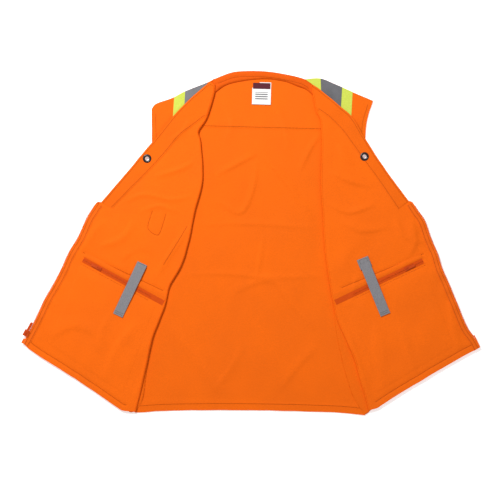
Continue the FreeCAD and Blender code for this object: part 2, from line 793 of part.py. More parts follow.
def main():
    make_back_panel()
    make_collar()
    make_back_bands()
    make_label()
    for name, side in SIDES.items():
        make_side(name, side)
        make_shoulder_bands(name, side)
        make_front_cloth(name, side)
        make_grommet(name, side)
        make_main_zip(name, side)
        make_inner_pocket(name, side)
        make_pocket_slider(name, side)
        make_strap(name, side)
        make_front_bands(name, side)
        make_outer_pockets(name, side)
    make_zip_box()
    make_main_slider()
    doc.recompute()

    faults = [o.Name for o in doc.Objects if {"Invalid", "Error"} & set(o.State)]
    faults += [p.Label for p in parts if p.Shape.isNull() or not p.Shape.isValid()]
    faults += [p.Label for p in parts if len(p.Shape.Solids) != 1]
    if faults:
        raise RuntimeError(f"these did not build: {faults}")

    os.makedirs("parts", exist_ok=True)
    for part in parts:
        part.Shape.exportStep(f"parts/{part.Label}.step")
    print(len(parts), "parts written")


main()
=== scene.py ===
import json
import math

import bpy
import numpy as np
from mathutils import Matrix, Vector, geometry, noise


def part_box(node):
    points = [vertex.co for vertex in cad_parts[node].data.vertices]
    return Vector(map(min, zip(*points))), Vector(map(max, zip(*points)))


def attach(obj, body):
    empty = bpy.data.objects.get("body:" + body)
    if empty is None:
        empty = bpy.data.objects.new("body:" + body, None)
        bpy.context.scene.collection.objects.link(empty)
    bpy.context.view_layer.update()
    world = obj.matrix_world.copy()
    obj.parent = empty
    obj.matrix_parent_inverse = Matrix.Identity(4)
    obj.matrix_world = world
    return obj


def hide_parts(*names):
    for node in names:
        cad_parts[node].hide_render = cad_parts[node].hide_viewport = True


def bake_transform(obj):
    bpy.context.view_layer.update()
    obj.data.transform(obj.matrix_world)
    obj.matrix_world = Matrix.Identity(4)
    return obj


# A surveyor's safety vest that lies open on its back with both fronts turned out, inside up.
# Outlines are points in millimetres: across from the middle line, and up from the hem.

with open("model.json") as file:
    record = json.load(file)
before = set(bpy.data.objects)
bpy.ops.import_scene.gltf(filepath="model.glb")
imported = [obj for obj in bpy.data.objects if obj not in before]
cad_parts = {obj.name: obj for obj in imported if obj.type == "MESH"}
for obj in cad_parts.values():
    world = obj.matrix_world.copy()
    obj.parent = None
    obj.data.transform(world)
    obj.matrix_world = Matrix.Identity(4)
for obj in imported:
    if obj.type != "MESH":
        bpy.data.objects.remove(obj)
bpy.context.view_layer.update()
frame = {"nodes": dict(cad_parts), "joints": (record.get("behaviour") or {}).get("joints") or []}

MM = 0.001
TINY = 1e-9
SIDES = {"left": -1, "right": 1}
GRID = 4.0 * MM                                     # distance between the points of a piece of cloth
EDGE_STEP = 3.0 * MM                                # and along its edge
CLOTH = 1.0 * MM                                    # thickness of a layer of cloth
SHARP = math.radians(55)                            # edges that turn more than this are shaded hard
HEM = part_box("back_panel")[0].y
BACK_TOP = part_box("back_panel")[1].z
SIDE_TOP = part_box("left_side_front")[1].z
FRONT_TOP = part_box("left_front_panel")[1].z
JOINTS = {joint["name"]: joint for joint in frame["joints"]}


# ---------------------------------------------------------------- points, curves and distances


def spots(*places):
    """Places in millimetres (across, up from the hem) as metres in the frame."""
    return np.array([(across * MM, HEM + up * MM) for across, up in places])


def resample(points, step):
    """The same line with evenly spaced points."""
    gaps = np.linalg.norm(np.diff(points, axis=0), axis=1)
    along = np.concatenate([[0], np.cumsum(gaps)])
    count = max(2, int(round(along[-1] / step)) + 1)
    wanted = np.linspace(0, along[-1], count)
    return np.column_stack([np.interp(wanted, along, column) for column in points.T])


def curve(points, step=EDGE_STEP):
    """Evenly spaced points on a smooth curve through the given ones."""
    points = np.asarray(points, float)
    run = np.vstack([2 * points[0] - points[1], points, 2 * points[-1] - points[-2]])
    share = np.linspace(0, 1, 16, endpoint=False)[:, None]
    pieces = []
    for n in range(len(points) - 1):
        before, start, end, after = run[n:n + 4]
        bend = 2 * before - 5 * start + 4 * end - after
        twist = 3 * start - before - 3 * end + after
        pieces.append(start + 0.5 * ((end - before) * share + bend * share**2 + twist * share**3))
    return resample(np.vstack(pieces + [points[-1:]]), step)


def straight(points, step=EDGE_STEP):
    """Evenly spaced points on each straight run between the given ones."""
    points = np.asarray(points, float)
    runs = [resample(points[n:n + 2], step)[:-1] for n in range(len(points) - 1)]
    return np.vstack(runs + [points[-1:]])


def oblong(start, end, near, far, step=EDGE_STEP):
    """The outline of a rectangle along a line, between two moves to the line's side."""
    corners = np.array([start + near, end + near, end + far, start + far])
    return straight(with_start(corners), step)[:-1]


def between(first, second):
    """The outline of the strip between two paths that run the same way."""
    return loop(first, straight(np.vstack([first[-1], second[-1]])), second[::-1],
                straight(np.vstack([second[0], first[0]])))


def loop(*stretches):
    """A closed outline from stretches that each start where the last one ends."""
    return np.vstack([stretch[:-1] for stretch in stretches])


def inside(points, outline):
    """Which points lie inside a closed outline."""
    x, y = points[:, 0], points[:, 1]
    found = np.zeros(len(points), bool)
    for (x0, y0), (x1, y1) in zip(outline, np.roll(outline, -1, axis=0)):
        crosses = (y0 > y) != (y1 > y)
        reach = x0 + (y - y0) * (x1 - x0) / (y1 - y0 + TINY)
        found ^= crosses & (x < reach)
    return found


def from_path(points, path):
    """Each point's distance from a path, how far along the path it is (0 to 1) and its side (-1 or 1)."""
    best = np.full(len(points), np.inf)
    share = np.zeros(len(points))
    side = np.ones(len(points))
    count = len(path) - 1
    for n in range(count):
        run = path[n + 1] - path[n]
        offset = points - path[n]
        part = np.clip(offset @ run / (run @ run + TINY), 0, 1)
        distance = np.linalg.norm(offset - part[:, None] * run, axis=1)
        nearer = distance < best
        best[nearer] = distance[nearer]
        share[nearer] = (n + part[nearer]) / count
        turn = run[0] * offset[:, 1] - run[1] * offset[:, 0]
        side[nearer] = np.sign(turn[nearer])
    return best, share, side


def from_outline(points, outline):
    """Each point's distance from a closed outline."""
    return from_path(points, with_start(outline))[0]


def signed_area(outline):
    """The area inside a closed outline, below zero where it runs clockwise."""
    after = np.roll(outline, -1, axis=0)
    return float(np.sum(outline[:, 0] * after[:, 1] - after[:, 0] * outline[:, 1])) / 2


def ease(value, start, end):
    """Rises smoothly from 0 at start to 1 at end."""
    part = np.clip((value - start) / (end - start), 0, 1)
    return part * part * (3 - 2 * part)


def normals_of(path):
    """Unit vectors to the left of a path's direction, one for each of its points."""
    along = np.gradient(path, axis=0)
    along /= np.linalg.norm(along, axis=1)[:, None] + TINY
    return np.column_stack([-along[:, 1], along[:, 0]])


def beside(path, distance):
    """A path moved to its left by a distance."""
    return path + normals_of(path) * distance


def with_start(points):
    """An outline's corners with the first one again at the end."""
    return np.vstack([points, points[:1]])


def dome(depth, reach):
    """Rises from 0 at an edge like a quarter circle, to 1 at a reach from it."""
    return np.sqrt(1 - (1 - np.clip(depth / reach, 0, 1)) ** 2)


def bump(distance, reach):
    """Falls smoothly from 1 on a line to nearly 0 at twice a reach from it."""
    return np.exp(-(distance / reach) ** 2)


def turns(count):
    """Evenly spaced angles once round a circle."""
    return np.arange(count) * 2 * math.pi / count


def circle(centre, radius, count=24):
    """A closed ring of points round a centre."""
    angle = turns(count)
    return np.column_stack([centre[0] + radius * np.cos(angle), centre[1] + radius * np.sin(angle)])


def turned_out(points, side_name):
    """Points drawn on the closed vest, mirrored in a front's fold line to where they lie turned out."""
    joint = JOINTS[f"{side_name}_front_fold"]
    foot = np.array(joint["pos_m"][:2])
    along = np.array(joint["axis"][:2])
    along /= np.linalg.norm(along)
    offset = points - foot
    return foot + 2 * (offset @ along)[:, None] * along - offset


# ---------------------------------------------------------------- relief of the cloth


def wander(points, size, seed):
    """Smooth noise between about -1 and 1 whose lumps are a given size."""
    return np.array([noise.noise(Vector((x / size, y / size, seed))) for x, y in points])


def crease(points, places, height, wide, steep=0.45):
    """A raised crease along a drawn line: wide to the left of its direction, steep to the right."""
    path = curve(spots(*places), 6 * MM)
    near = inside_box(points, path, 3 * wide)
    rise = np.zeros(len(points))
    if not near.any():
        return rise
    distance, share, side = from_path(points[near], path)
    width = np.where(side > 0, wide, wide * steep)
    taper = np.sin(np.pi * np.clip(share, 0, 1)) ** 0.7
    rise[near] = height * bump(distance, width) * taper
    return rise


def inside_box(points, path, margin):
    """Which points lie within a margin of a path's own box."""
    low, high = path.min(0) - margin, path.max(0) + margin
    return ((points > low) & (points < high)).all(axis=1)


def creases(points, table):
    """The sum of several creases, each given as height and width in millimetres and its line."""
    return sum(crease(points, places, height * MM, wide * MM) for height, wide, places in table)


# ---------------------------------------------------------------- making meshes


def mesh_piece(name, points, faces):
    """A smooth-shaded mesh from points and faces, with sharp edges where it turns hard."""
    mesh = bpy.data.meshes.new(name)
    mesh.from_pydata([tuple(p) for p in points], [], [tuple(int(i) for i in face) for face in faces])
    mesh.validate()
    mesh.shade_smooth()
    mesh.set_sharp_from_angle(angle=SHARP)
    piece = bpy.data.objects.new(name, mesh)
    bpy.context.scene.collection.objects.link(piece)
    return piece


def fill(outline, spacing, holes=(), rows=()):
    """Triangles that fill an outline round its holes, with extra rows of points where the cloth needs them.

    The outline's own points come first, in order."""
    low, high = outline.min(0), outline.max(0)
    ups = np.arange(low[1], high[1], spacing * math.sqrt(0.75))
    across = np.arange(low[0], high[0], spacing)
    grid = np.vstack([np.column_stack([across + (n % 2) * spacing / 2, np.full(len(across), up)])
                      for n, up in enumerate(ups)])
    keep = inside(grid, outline)
    grid = grid[keep]
    clear = from_outline(grid, outline) > 0.6 * spacing
    for row in rows:
        clear &= from_path(grid, row)[0] > 0.35 * spacing
    for hole in holes:
        clear &= ~inside(grid, hole) & (from_outline(grid, hole) > 0.5 * spacing)
    grid = grid[clear]
    extra = [row[inside(row, outline) & (from_outline(row, outline) > 0.3 * spacing)] for row in rows]
    loops = [outline, *holes]
    points = np.vstack([*loops, *extra, grid])
    edges, start = [], 0
    for ring in loops:
        count = len(ring)
        edges += [(start + n, start + (n + 1) % count) for n in range(count)]
        start += count
    made = geometry.delaunay_2d_cdt([Vector(p) for p in points], edges, [], 1, TINY)
    found = np.array([tuple(p) for p in made[0]])
    faces = np.array([face for face in made[2]])
    middles = found[faces].mean(axis=1)
    kept = inside(middles, outline)
    for hole in holes:
        kept &= ~inside(middles, hole)
    return ordered(points, found, faces[kept], made[3])


def ordered(points, found, faces, sources):
    """The triangulation with its points back in the order that they were given in."""
    place = np.full(len(found), -1)
    for here, given in enumerate(sources):
        if given:
            place[here] = given[0]
    added = np.flatnonzero(place < 0)
    place[added] = len(points) + np.arange(len(added))
    return np.vstack([points, found[added]]), place[faces]


def upward(points, faces):
    """Faces with their corners in the order that makes them look up."""
    a, b, c = (points[faces[:, n]] for n in range(3))
    turn = (b[:, 0] - a[:, 0]) * (c[:, 1] - a[:, 1]) - (b[:, 1] - a[:, 1]) * (c[:, 0] - a[:, 0])
    return np.where((turn < 0)[:, None], faces[:, ::-1], faces)


def shell(name, outline, top, under, spacing=GRID, holes=(), rows=()):
    """A closed piece of cloth between an upper and a lower surface, which are functions of (x, y)."""
    points, faces = fill(outline, spacing, holes, rows)
    faces = upward(points, faces)
    count = len(points)
    above = np.column_stack([points, top(points)])
    below = np.column_stack([points, under(points)])
    rims = []
    start = 0
    for n, ring in enumerate([outline, *holes]):
        size = len(ring)
        anticlockwise = (signed_area(ring) > 0) == (n == 0)
        for k in range(size):
            a, b = start + k, start + (k + 1) % size
            if not anticlockwise:
                a, b = b, a
            rims.append((b, a, a + count, b + count))
        start += size
    everything = [tuple(f) for f in faces] + [tuple(f[::-1] + count) for f in faces] + rims
    return mesh_piece(name, np.vstack([above, below]), everything)


def sheet_of(name, outline, top, thickness=CLOTH, spacing=GRID, holes=(), rows=()):
    """A closed piece of cloth of even thickness under a surface."""
    return shell(name, outline, top, lambda p: top(p) - thickness, spacing, holes, rows)


def grid_faces(rows, columns, closed=False):
    """Quads of a grid of points, given row by row; closed joins the last column to the first."""
    faces = []
    for r in range(rows - 1):
        for c in range(columns if closed else columns - 1):
            d = (c + 1) % columns
            faces.append((r * columns + c, r * columns + d, (r + 1) * columns + d, (r + 1) * columns + c))
    return faces


def tube(name, path, radius, sides=6):
    """A round wire along a path in space."""
    along = np.gradient(path, axis=0)
    along /= np.linalg.norm(along, axis=1)[:, None] + TINY
    aside = np.array([0.31, 0.17, 0.93])           # no path in the vest runs in this direction
    first = np.cross(along, aside)
    first /= np.linalg.norm(first, axis=1)[:, None]
    second = np.cross(along, first)
    turn = turns(sides)
    ring = first[:, None] * np.cos(turn)[None, :, None] + second[:, None] * np.sin(turn)[None, :, None]
    points = (path[:, None] + radius * ring).reshape(-1, 3)
    ends = [tuple(range(sides))[::-1], tuple(len(points) - sides + n for n in range(sides))]
    return mesh_piece(name, points, grid_faces(len(path), sides, closed=True) + ends)


def coil(name, path, radius, pitch, wire):
    """A coil of nylon wire wound along a path in space."""
    length = np.linalg.norm(np.diff(path, axis=0), axis=1).sum()
    steps = 8                                      # points in each turn
    count = int(length / pitch)
    middle = resample(path, length / (count * steps))
    along = np.gradient(middle, axis=0)
    along /= np.linalg.norm(along, axis=1)[:, None]
    across = np.cross(along, (0, 0, 1))
    angle = np.arange(len(middle)) * 2 * math.pi / steps
    around = across * np.cos(angle)[:, None] + np.array([0, 0, 1]) * np.sin(angle)[:, None]
    return tube(name, middle + around * (radius - wire), wire, 5)


def lathe(name, centre, profile, count=48):
    """A ring turned about the vertical through a centre, from its section (radius, height)."""
    angle = turns(count)
    points = [(centre[0] + radius * math.cos(a), centre[1] + radius * math.sin(a), height)
              for radius, height in profile for a in angle]
    rows = len(profile)
    faces = grid_faces(rows, count, closed=True)
    last = (rows - 1) * count
    faces += [(last + n, last + (n + 1) % count, (n + 1) % count, n) for n in range(count)]
    return mesh_piece(name, points, faces)


# The rings of a stitch: share of the way along it, then its size and lift as shares of the thread.
STITCH = [(0.0, 0.4, 0.0), (0.2, 1.0, 0.5), (0.6, 1.0, 0.5), (0.8, 0.4, 0.0)]


def stitches(name, rows, height, pitch=3.2 * MM, thick=0.55 * MM):
    """Rows of thread stitches that lie on a surface, as one piece."""
    points, faces = [], []
    sides = 5
    upright = np.array([0, 0, 1])
    for row in rows:
        path = resample(row, pitch)
        places = np.column_stack([path, height(path)])
        for start, end in zip(places, places[1:]):
            run = end - start
            across = np.array([-run[1], run[0], 0]) / (np.linalg.norm(run[:2]) + TINY)
            first = len(points)
            for share, size, lift in STITCH:
                middle = start + run * share + upright * thick * lift
                points += [middle + thick * size * (across * math.cos(a) + upright * math.sin(a))
                           for a in turns(sides)]
            faces += [tuple(first + i for i in face) for face in grid_faces(len(STITCH), sides, closed=True)]
            faces.append(tuple(first + n for n in range(sides))[::-1])
            faces.append(tuple(first + (len(STITCH) - 1) * sides + n for n in range(sides)))
    return mesh_piece(name, points, faces)


# ---------------------------------------------------------------- materials


class Finish:
    """A material's nodes, made and joined in short lines."""

    def __init__(self, name, roughness, colour=(0.5, 0.5, 0.5)):
        self.material = bpy.data.materials.new(name)
        self.material.use_nodes = True
        self.nodes = self.material.node_tree.nodes
        self.links = self.material.node_tree.links
        self.shader = self.nodes["Principled BSDF"]
        self.shader.inputs["Roughness"].default_value = roughness
        self.shader.inputs["Base Color"].default_value = (*colour, 1)
        self.place = self.nodes.new("ShaderNodeTexCoord").outputs["Object"]

    def join(self, output, target):
        self.links.new(output, target)
        return output

    def turned(self, degrees):
        """The object's own coordinates, turned about the vertical."""
        node = self.nodes.new("ShaderNodeMapping")
        node.inputs["Rotation"].default_value = (0, 0, math.radians(degrees))
        self.join(self.place, node.inputs["Vector"])
        return node.outputs["Vector"]

    def noise(self, scale, detail=3.0, roughness=0.55):
        node = self.nodes.new("ShaderNodeTexNoise")
        node.inputs["Scale"].default_value = scale
        node.inputs["Detail"].default_value = detail
        node.inputs["Roughness"].default_value = roughness
        self.join(self.place, node.inputs["Vector"])
        return node.outputs["Fac"]

    def bands(self, scale, direction, degrees=0.0, distortion=0.0):
        node = self.nodes.new("ShaderNodeTexWave")
        node.bands_direction = direction
        node.inputs["Scale"].default_value = scale
        node.inputs["Distortion"].default_value = distortion
        self.join(self.turned(degrees), node.inputs["Vector"])
        return node.outputs["Fac"]

    def cells(self, scale):
        node = self.nodes.new("ShaderNodeTexVoronoi")
        node.inputs["Scale"].default_value = scale
        self.join(self.place, node.inputs["Vector"])
        return node.outputs["Distance"]

    def maths(self, operation, first, second):
        node = self.nodes.new("ShaderNodeMath")
        node.operation = operation
        for target, value in zip(node.inputs, (first, second)):
            if isinstance(value, float):
                target.default_value = value
            else:
                self.join(value, target)
        return node.outputs["Value"]

    def ramp(self, value, *stops):
        """Colours along a value, each stop a place and a colour."""
        node = self.nodes.new("ShaderNodeValToRGB")
        ramp = node.color_ramp
        while len(ramp.elements) < len(stops):
            ramp.elements.new(0.5)
        for element, (place, colour) in zip(ramp.elements, stops):
            element.position = place
            element.color = (*colour, 1)
        self.join(value, node.inputs["Fac"])
        return node.outputs["Color"]

    def multiplied(self, first, second, share):
        node = self.nodes.new("ShaderNodeMix")
        node.data_type = "RGBA"
        node.blend_type = "MULTIPLY"
        node.inputs["Factor"].default_value = share
        self.join(first, node.inputs["A"])
        self.join(second, node.inputs["B"])
        return node.outputs["Result"]

    def colour(self, output):
        self.join(output, self.shader.inputs["Base Color"])

    def relief(self, height, distance, strength=1.0):
        node = self.nodes.new("ShaderNodeBump")
        node.inputs["Distance"].default_value = distance
        node.inputs["Strength"].default_value = strength
        self.join(height, node.inputs["Height"])
        self.join(node.outputs["Normal"], self.shader.inputs["Normal"])

    def rough(self, value, low, high):
        """Roughness that follows a value between two limits."""
        node = self.nodes.new("ShaderNodeMapRange")
        node.inputs["To Min"].default_value = low
        node.inputs["To Max"].default_value = high
        self.join(value, node.inputs["Value"])
        self.join(node.outputs["Result"], self.shader.inputs["Roughness"])

    def fuzz(self, weight, roughness, tint):
        """The soft sheen of cloth."""
        self.shader.inputs["Sheen Weight"].default_value = weight
        self.shader.inputs["Sheen Roughness"].default_value = roughness
        self.shader.inputs["Sheen Tint"].default_value = (*tint, 1)


def shade(colour, factor):
    """A colour made lighter or darker."""
    return tuple(min(1.0, part * factor) for part in colour)


WAVE_LENGTH = 0.314                                  # of the wave texture at a scale of 1, in metres
WHITE = (1.0, 1.0, 1.0)


def woven(name, colour, thread=0.55 * MM, degrees=0.0, deep=0.10 * MM, patchy=0.045, sheen=0.04):
    """Plain woven polyester: crossing threads, faint slubs and soft patches of lighter and darker dye."""
    finish = Finish(name, 0.75)
    scale = WAVE_LENGTH / thread
    warp = finish.bands(scale, "X", degrees, 0.6)
    weft = finish.bands(scale, "Y", degrees, 0.6)
    weave = finish.maths("MULTIPLY", warp, weft)
    patches = finish.noise(9, 4)
    slubs = finish.noise(420, 2)
    broad = finish.ramp(patches, (0.25, shade(colour, 1 - patchy)), (0.75, shade(colour, 1 + patchy)))
    fine = finish.ramp(slubs, (0.3, (0.86, 0.86, 0.86)), (0.7, WHITE))
    threads = finish.ramp(weave, (0.0, (0.88, 0.88, 0.88)), (0.6, WHITE))
    finish.colour(finish.multiplied(finish.multiplied(broad, fine, 0.8), threads, 0.9))
    finish.relief(finish.maths("ADD", weave, finish.maths("MULTIPLY", slubs, 0.5)), deep, 0.6)
    finish.rough(patches, 0.68, 0.84)
    finish.fuzz(sheen, 0.5, shade(colour, 1.2))
    finish.shader.inputs["Specular IOR Level"].default_value = 0.1
    return finish.material


def beaded_tape(name, colour):
    """Grey reflective tape: a fine pattern of glass beads, whose glints are painted into its colour as white
    specks.
    """
    finish = Finish(name, 0.42)
    beads = finish.cells(1500)
    patches = finish.noise(26, 3)
    base = finish.ramp(patches, (0.3, shade(colour, 0.86)), (0.7, shade(colour, 1.14)))
    # painted glints: a white speck at the middle of each bead, painted into the tape's colour
    specks = finish.ramp(beads, (0.0, WHITE), (0.8, (0.62, 0.62, 0.64)))
    finish.colour(finish.multiplied(base, specks, 0.7))
    finish.relief(beads, 0.08 * MM, 0.5)
    finish.rough(patches, 0.35, 0.55)
    finish.shader.inputs["Metallic"].default_value = 0.25
    return finish.material


def ribbed_webbing(name, colour, degrees):
    """Flat webbing: ribs across it, and a speckle of lighter yarn."""
    finish = Finish(name, 0.7)
    ribs = finish.bands(260, "X", degrees, 1.2)
    yarn = finish.noise(600, 2)
    base = finish.ramp(yarn, (0.3, shade(colour, 0.78)), (0.7, shade(colour, 1.22)))
    lines = finish.ramp(ribs, (0.0, (0.8, 0.8, 0.8)), (0.7, WHITE))
    finish.colour(finish.multiplied(base, lines, 0.8))
    finish.relief(ribs, 0.2 * MM, 0.7)
    finish.fuzz(0.2, 0.4, shade(colour, 1.6))
    return finish.material


PRINT_TOP, PRINT_FOOT, PRINT_MARGIN = 22 * MM, 41 * MM, 7 * MM    # where the label's bars lie on it


def satin_label(name, cloth_colour, ink):
    """White satin with plain grey bars where a label would be printed."""
    finish = Finish(name, 0.45)
    low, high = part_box("care_label")
    split = finish.nodes.new("ShaderNodeSeparateXYZ")
    finish.join(finish.place, split.inputs["Vector"])
    down = finish.maths("SUBTRACT", high.y, split.outputs["Y"])
    bar = finish.maths("GREATER_THAN", finish.bands(62, "Y", 0.0, 0.0), 0.5)
    starts = finish.maths("GREATER_THAN", down, PRINT_TOP)
    ends = finish.maths("LESS_THAN", down, PRINT_FOOT)
    left = finish.maths("GREATER_THAN", split.outputs["X"], low.x + PRINT_MARGIN)
    right = finish.maths("LESS_THAN", split.outputs["X"], high.x - PRINT_MARGIN)
    printed = bar
    for limit in (starts, ends, left, right):
        printed = finish.maths("MULTIPLY", printed, limit)
    finish.colour(finish.ramp(printed, (0.0, cloth_colour), (1.0, ink)))
    finish.relief(finish.bands(420, "X"), 0.04 * MM, 0.4)
    return finish.material


def smooth_hard(name, colour, roughness, metallic=0.0, specks=0.12, gloss=0.5):
    """Moulded or enamelled small parts: slightly uneven colour and gloss."""
    finish = Finish(name, roughness)
    grain = finish.noise(320, 3)
    finish.colour(finish.ramp(grain, (0.3, shade(colour, 1 - specks)), (0.7, shade(colour, 1 + specks))))
    finish.rough(grain, roughness * 0.8, roughness * 1.25)
    finish.relief(grain, 0.02 * MM, 0.4)
    finish.shader.inputs["Metallic"].default_value = metallic
    finish.shader.inputs["Specular IOR Level"].default_value = gloss
    return finish.material


ORANGE = (0.85, 0.133, 0.0025)
MATERIALS = {
    "orange_cloth": woven("vest_cloth", ORANGE),
    "front_cloth": woven("front_cloth", shade(ORANGE, 1.03), degrees=-27),
    "facing_cloth": woven("facing_cloth", shade(ORANGE, 0.97), degrees=40),
    "collar_cloth": woven("collar_cloth", (0.73, 0.098, 0.002), thread=0.5 * MM),
    "binding_cloth": woven("seam_binding", shade(ORANGE, 1.0), thread=0.8 * MM, deep=0.2 * MM),
    "lime_band": woven("lime_band", (0.58, 0.66, 0.09), thread=0.9 * MM, deep=0.2 * MM),
    # silver tape: its white bead specks are painted glints
    "silver_tape": beaded_tape("silver_tape", (0.13, 0.13, 0.14)),
    "zip_tape": woven("zip_tape", (0.84, 0.132, 0.005), thread=0.7 * MM, deep=0.2 * MM),
    # pocket tape: its dark red is partly the tape's own darker colour and partly painted shade for the welt
    # lips' shadow over the zip
    "pocket_tape": woven("pocket_tape", (0.62, 0.07, 0.003), thread=0.7 * MM, deep=0.2 * MM),
    "zip_coil": smooth_hard("zip_coil", (0.68, 0.09, 0.004), 0.4, gloss=0.25),
    "zip_slider": smooth_hard("zip_enamel", (0.47, 0.05, 0.003), 0.45, gloss=0.15),
    "zip_moulding": smooth_hard("zip_moulding", (0.78, 0.12, 0.004), 0.45, gloss=0.25),
    "grommet_metal": smooth_hard("grommet_metal", (0.035, 0.03, 0.03), 0.28, 0.8, 0.3),
    "left_webbing": ribbed_webbing("left_webbing", (0.19, 0.185, 0.20), 66),
    "right_webbing": ribbed_webbing("right_webbing", (0.19, 0.185, 0.20), -66),
    "label_cloth": satin_label("label_cloth", (0.74, 0.73, 0.72), (0.09, 0.09, 0.10)),
    "header_cloth": woven("header_cloth", (0.10, 0.02, 0.03), thread=0.4 * MM),
    "thread": smooth_hard("thread", shade(ORANGE, 0.42), 0.6, gloss=0.1),
    "grey_thread": smooth_hard("grey_thread", (0.13, 0.125, 0.13), 0.6, gloss=0.2),
}


def dress(piece, material, body=None, replaces=()):
    """Give a piece its material and its body, and hide the CAD nodes that it stands for."""
    piece.data.materials.append(MATERIALS[material])
    if body:
        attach(piece, body)
    if replaces:
        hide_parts(*replaces)
    return piece


def declare(outline):
    """Work out the width, length and area of a piece cut to its own outline, and do nothing more with them.
    """
    width, length = (float(size) for size in outline.max(0) - outline.min(0))
    area = min(abs(signed_area(outline)), width * length)


def declare_tape(outline, width):
    """Work out the length of a piece of tape of an even width from its outline, and do nothing more with it.
    """
    length = abs(signed_area(outline)) / width


# ---------------------------------------------------------------- outlines of the cloth

HEM_LINE = [(-257, -12), (-186, -6), (-60, -1), (80, 1), (200, 0), (257, -4)]
SIDE_SEAMS = {
    "left": [(-289, 394), (-284, 200), (-278, 10), (-257, -12)],
    "right": [(257, -4), (270, 7), (284, 40), (284, 200), (289, 394)],
}
NECK_LINE = [(101, 747), (50, 756), (0, 759), (-50, 756), (-101, 743)]
YOKE = 635
SHOULDERS = {
    "left": [(-101, 743), (-114, 735), (-165, 713), (-192, 698), (-228, 684), (-239, 672)],
    "right": [(101, 747), (138, 750), (172, 738), (213, 721), (258, 703)],
}
ARMHOLES = {
    "left": [(-239, 672), (-236, 597), (-232, 560), (-242, 520), (-262, 450), (-289, 394)],
    "right": [(258, 703), (245, 655), (242, 614), (230, 577), (240, 525), (263, 452), (289, 394)],
}
FOLDS = {
    "left": [(-260, -9), (-251, 34), (-237, 107), (-227, 157), (-201, 229), (-191, 275), (-166, 323),
             (-152, 373), (-138, 449), (-125, 505), (-124, 545), (-130, 600), (-135, 624), (-118, 655),
             (-104, 702), (-100, 729)],
    "right": [(269, 9), (250, 73), (232, 130), (195, 205), (183, 250), (172, 305), (161, 372), (156, 440),
              (150, 500), (149, 576), (146, 648), (133, 680), (121, 735)],
}
V_EDGES = {
    "left": [(-100, 729), (-114, 731), (-163, 686), (-187, 659), (-236, 596), (-290, 528), (-346, 459)],
    "right": [(121, 735), (142, 721), (188, 685), (211, 665), (243, 616), (290, 548), (343, 480)],
}
ZIP_EDGES = {
    "left": [(-346, 459), (-356, 458), (-367, 440), (-378, 421), (-394, 382), (-411, 352), (-421, 332),
             (-430, 309), (-446, 276), (-466, 239), (-483, 200), (-504, 157), (-514, 139)],
    "right": [(343, 480), (352, 477), (364, 459), (380, 437), (395, 398), (411, 363), (422, 330), (435, 303),
              (456, 256), (480, 203), (499, 177), (512, 156)],
}
FRONT_HEMS = {
    "left": [(-514, 139), (-487, 117), (-392, 60), (-300, 1), (-285, -7), (-260, -9)],
    "right": [(512, 156), (463, 128), (357, 62), (300, 24), (286, 14), (269, 9)],
}
FACING_EDGES = {
    "left": [(-117, 657), (-143, 636), (-174, 611), (-202, 575), (-235, 537), (-273, 496), (-320, 446)],
    "right": [(134, 678), (160, 660), (189, 632), (222, 590), (242, 563), (279, 515), (318, 460)],
}

# Creases: height and width in millimetres, then the line; the steep side is on the right of its direction.
BACK_CREASES = [
    (2.5, 9, [(4, 580), (60, 522), (130, 430)]),
    (2.1, 8, [(-92, 525), (-37, 556), (4, 580)]),
    (1.9, 8, [(-88, 470), (-34, 443), (-6, 496), (2, 563)]),
    (1.5, 6, [(18, 398), (12, 340), (5, 290)]),
    (1.8, 8, [(98, 540), (120, 590), (148, 632)]),
    (1.8, 12, [(-48, 262), (15, 290), (53, 286), (84, 244), (140, 182)]),
    (1.2, 8, [(-160, 300), (-60, 305), (40, 299), (165, 306)]),
    (1.1, 8, [(-135, 413), (0, 419), (150, 412)]),
    (1.8, 15, [(-60, 30), (-120, 110), (-180, 190)]),
    (1.5, 14, [(60, 40), (110, 110), (150, 150)]),
    (1.1, 10, [(-20, 150), (-50, 90), (-90, 40)]),
    (1.2, 10, [(30, 700), (60, 640), (70, 590)]),
    (1.1, 10, [(-80, 700), (-60, 650), (-70, 600)]),
]
FRONT_CREASES = {
    "left": [
        (2.6, 8, [(-150, 412), (-175, 372), (-205, 322), (-215, 300)]),
        (2.2, 7, [(-135, 560), (-170, 540), (-230, 520)]),
        (2.0, 6, [(-140, 480), (-190, 470), (-250, 480), (-300, 460)]),
        (1.8, 6, [(-170, 440), (-215, 455), (-260, 440)]),
        (2.4, 10, [(-270, 420), (-300, 380), (-350, 360)]),
        (2.0, 12, [(-340, 420), (-370, 380), (-395, 330)]),
        (2.2, 15, [(-250, 200), (-300, 140), (-330, 60)]),
        (2.0, 19, [(-460, 150), (-400, 180), (-340, 160)]),
        (1.7, 12, [(-290, 260), (-330, 190), (-350, 120)]),
        (1.8, 8, [(-232, 110), (-246, 60), (-262, 20)]),
        (1.7, 8, [(-150, 655), (-170, 620), (-200, 600)]),
        (1.6, 8, [(-300, 330), (-260, 350), (-225, 345)]),
    ],
    "right": [
        (2.6, 8, [(165, 540), (205, 522), (262, 506)]),
        (2.2, 8, [(160, 470), (210, 450), (270, 470)]),
        (2.0, 10, [(190, 430), (240, 410), (300, 420)]),
        (2.2, 8, [(310, 440), (335, 400), (380, 385)]),
        (2.4, 12, [(345, 350), (360, 390), (350, 440)]),
        (2.5, 20, [(275, 215), (285, 130), (300, 50)]),
        (1.8, 12, [(330, 200), (350, 140), (370, 90)]),
        (2.0, 12, [(440, 260), (450, 200), (465, 150)]),
        (2.0, 8, [(235, 320), (225, 280), (215, 240)]),
        (1.8, 10, [(180, 600), (200, 570), (230, 555)]),
        (1.8, 8, [(196, 215), (222, 160), (248, 90), (266, 36)]),
        (1.7, 8, [(290, 300), (330, 320), (345, 350)]),
    ],
}


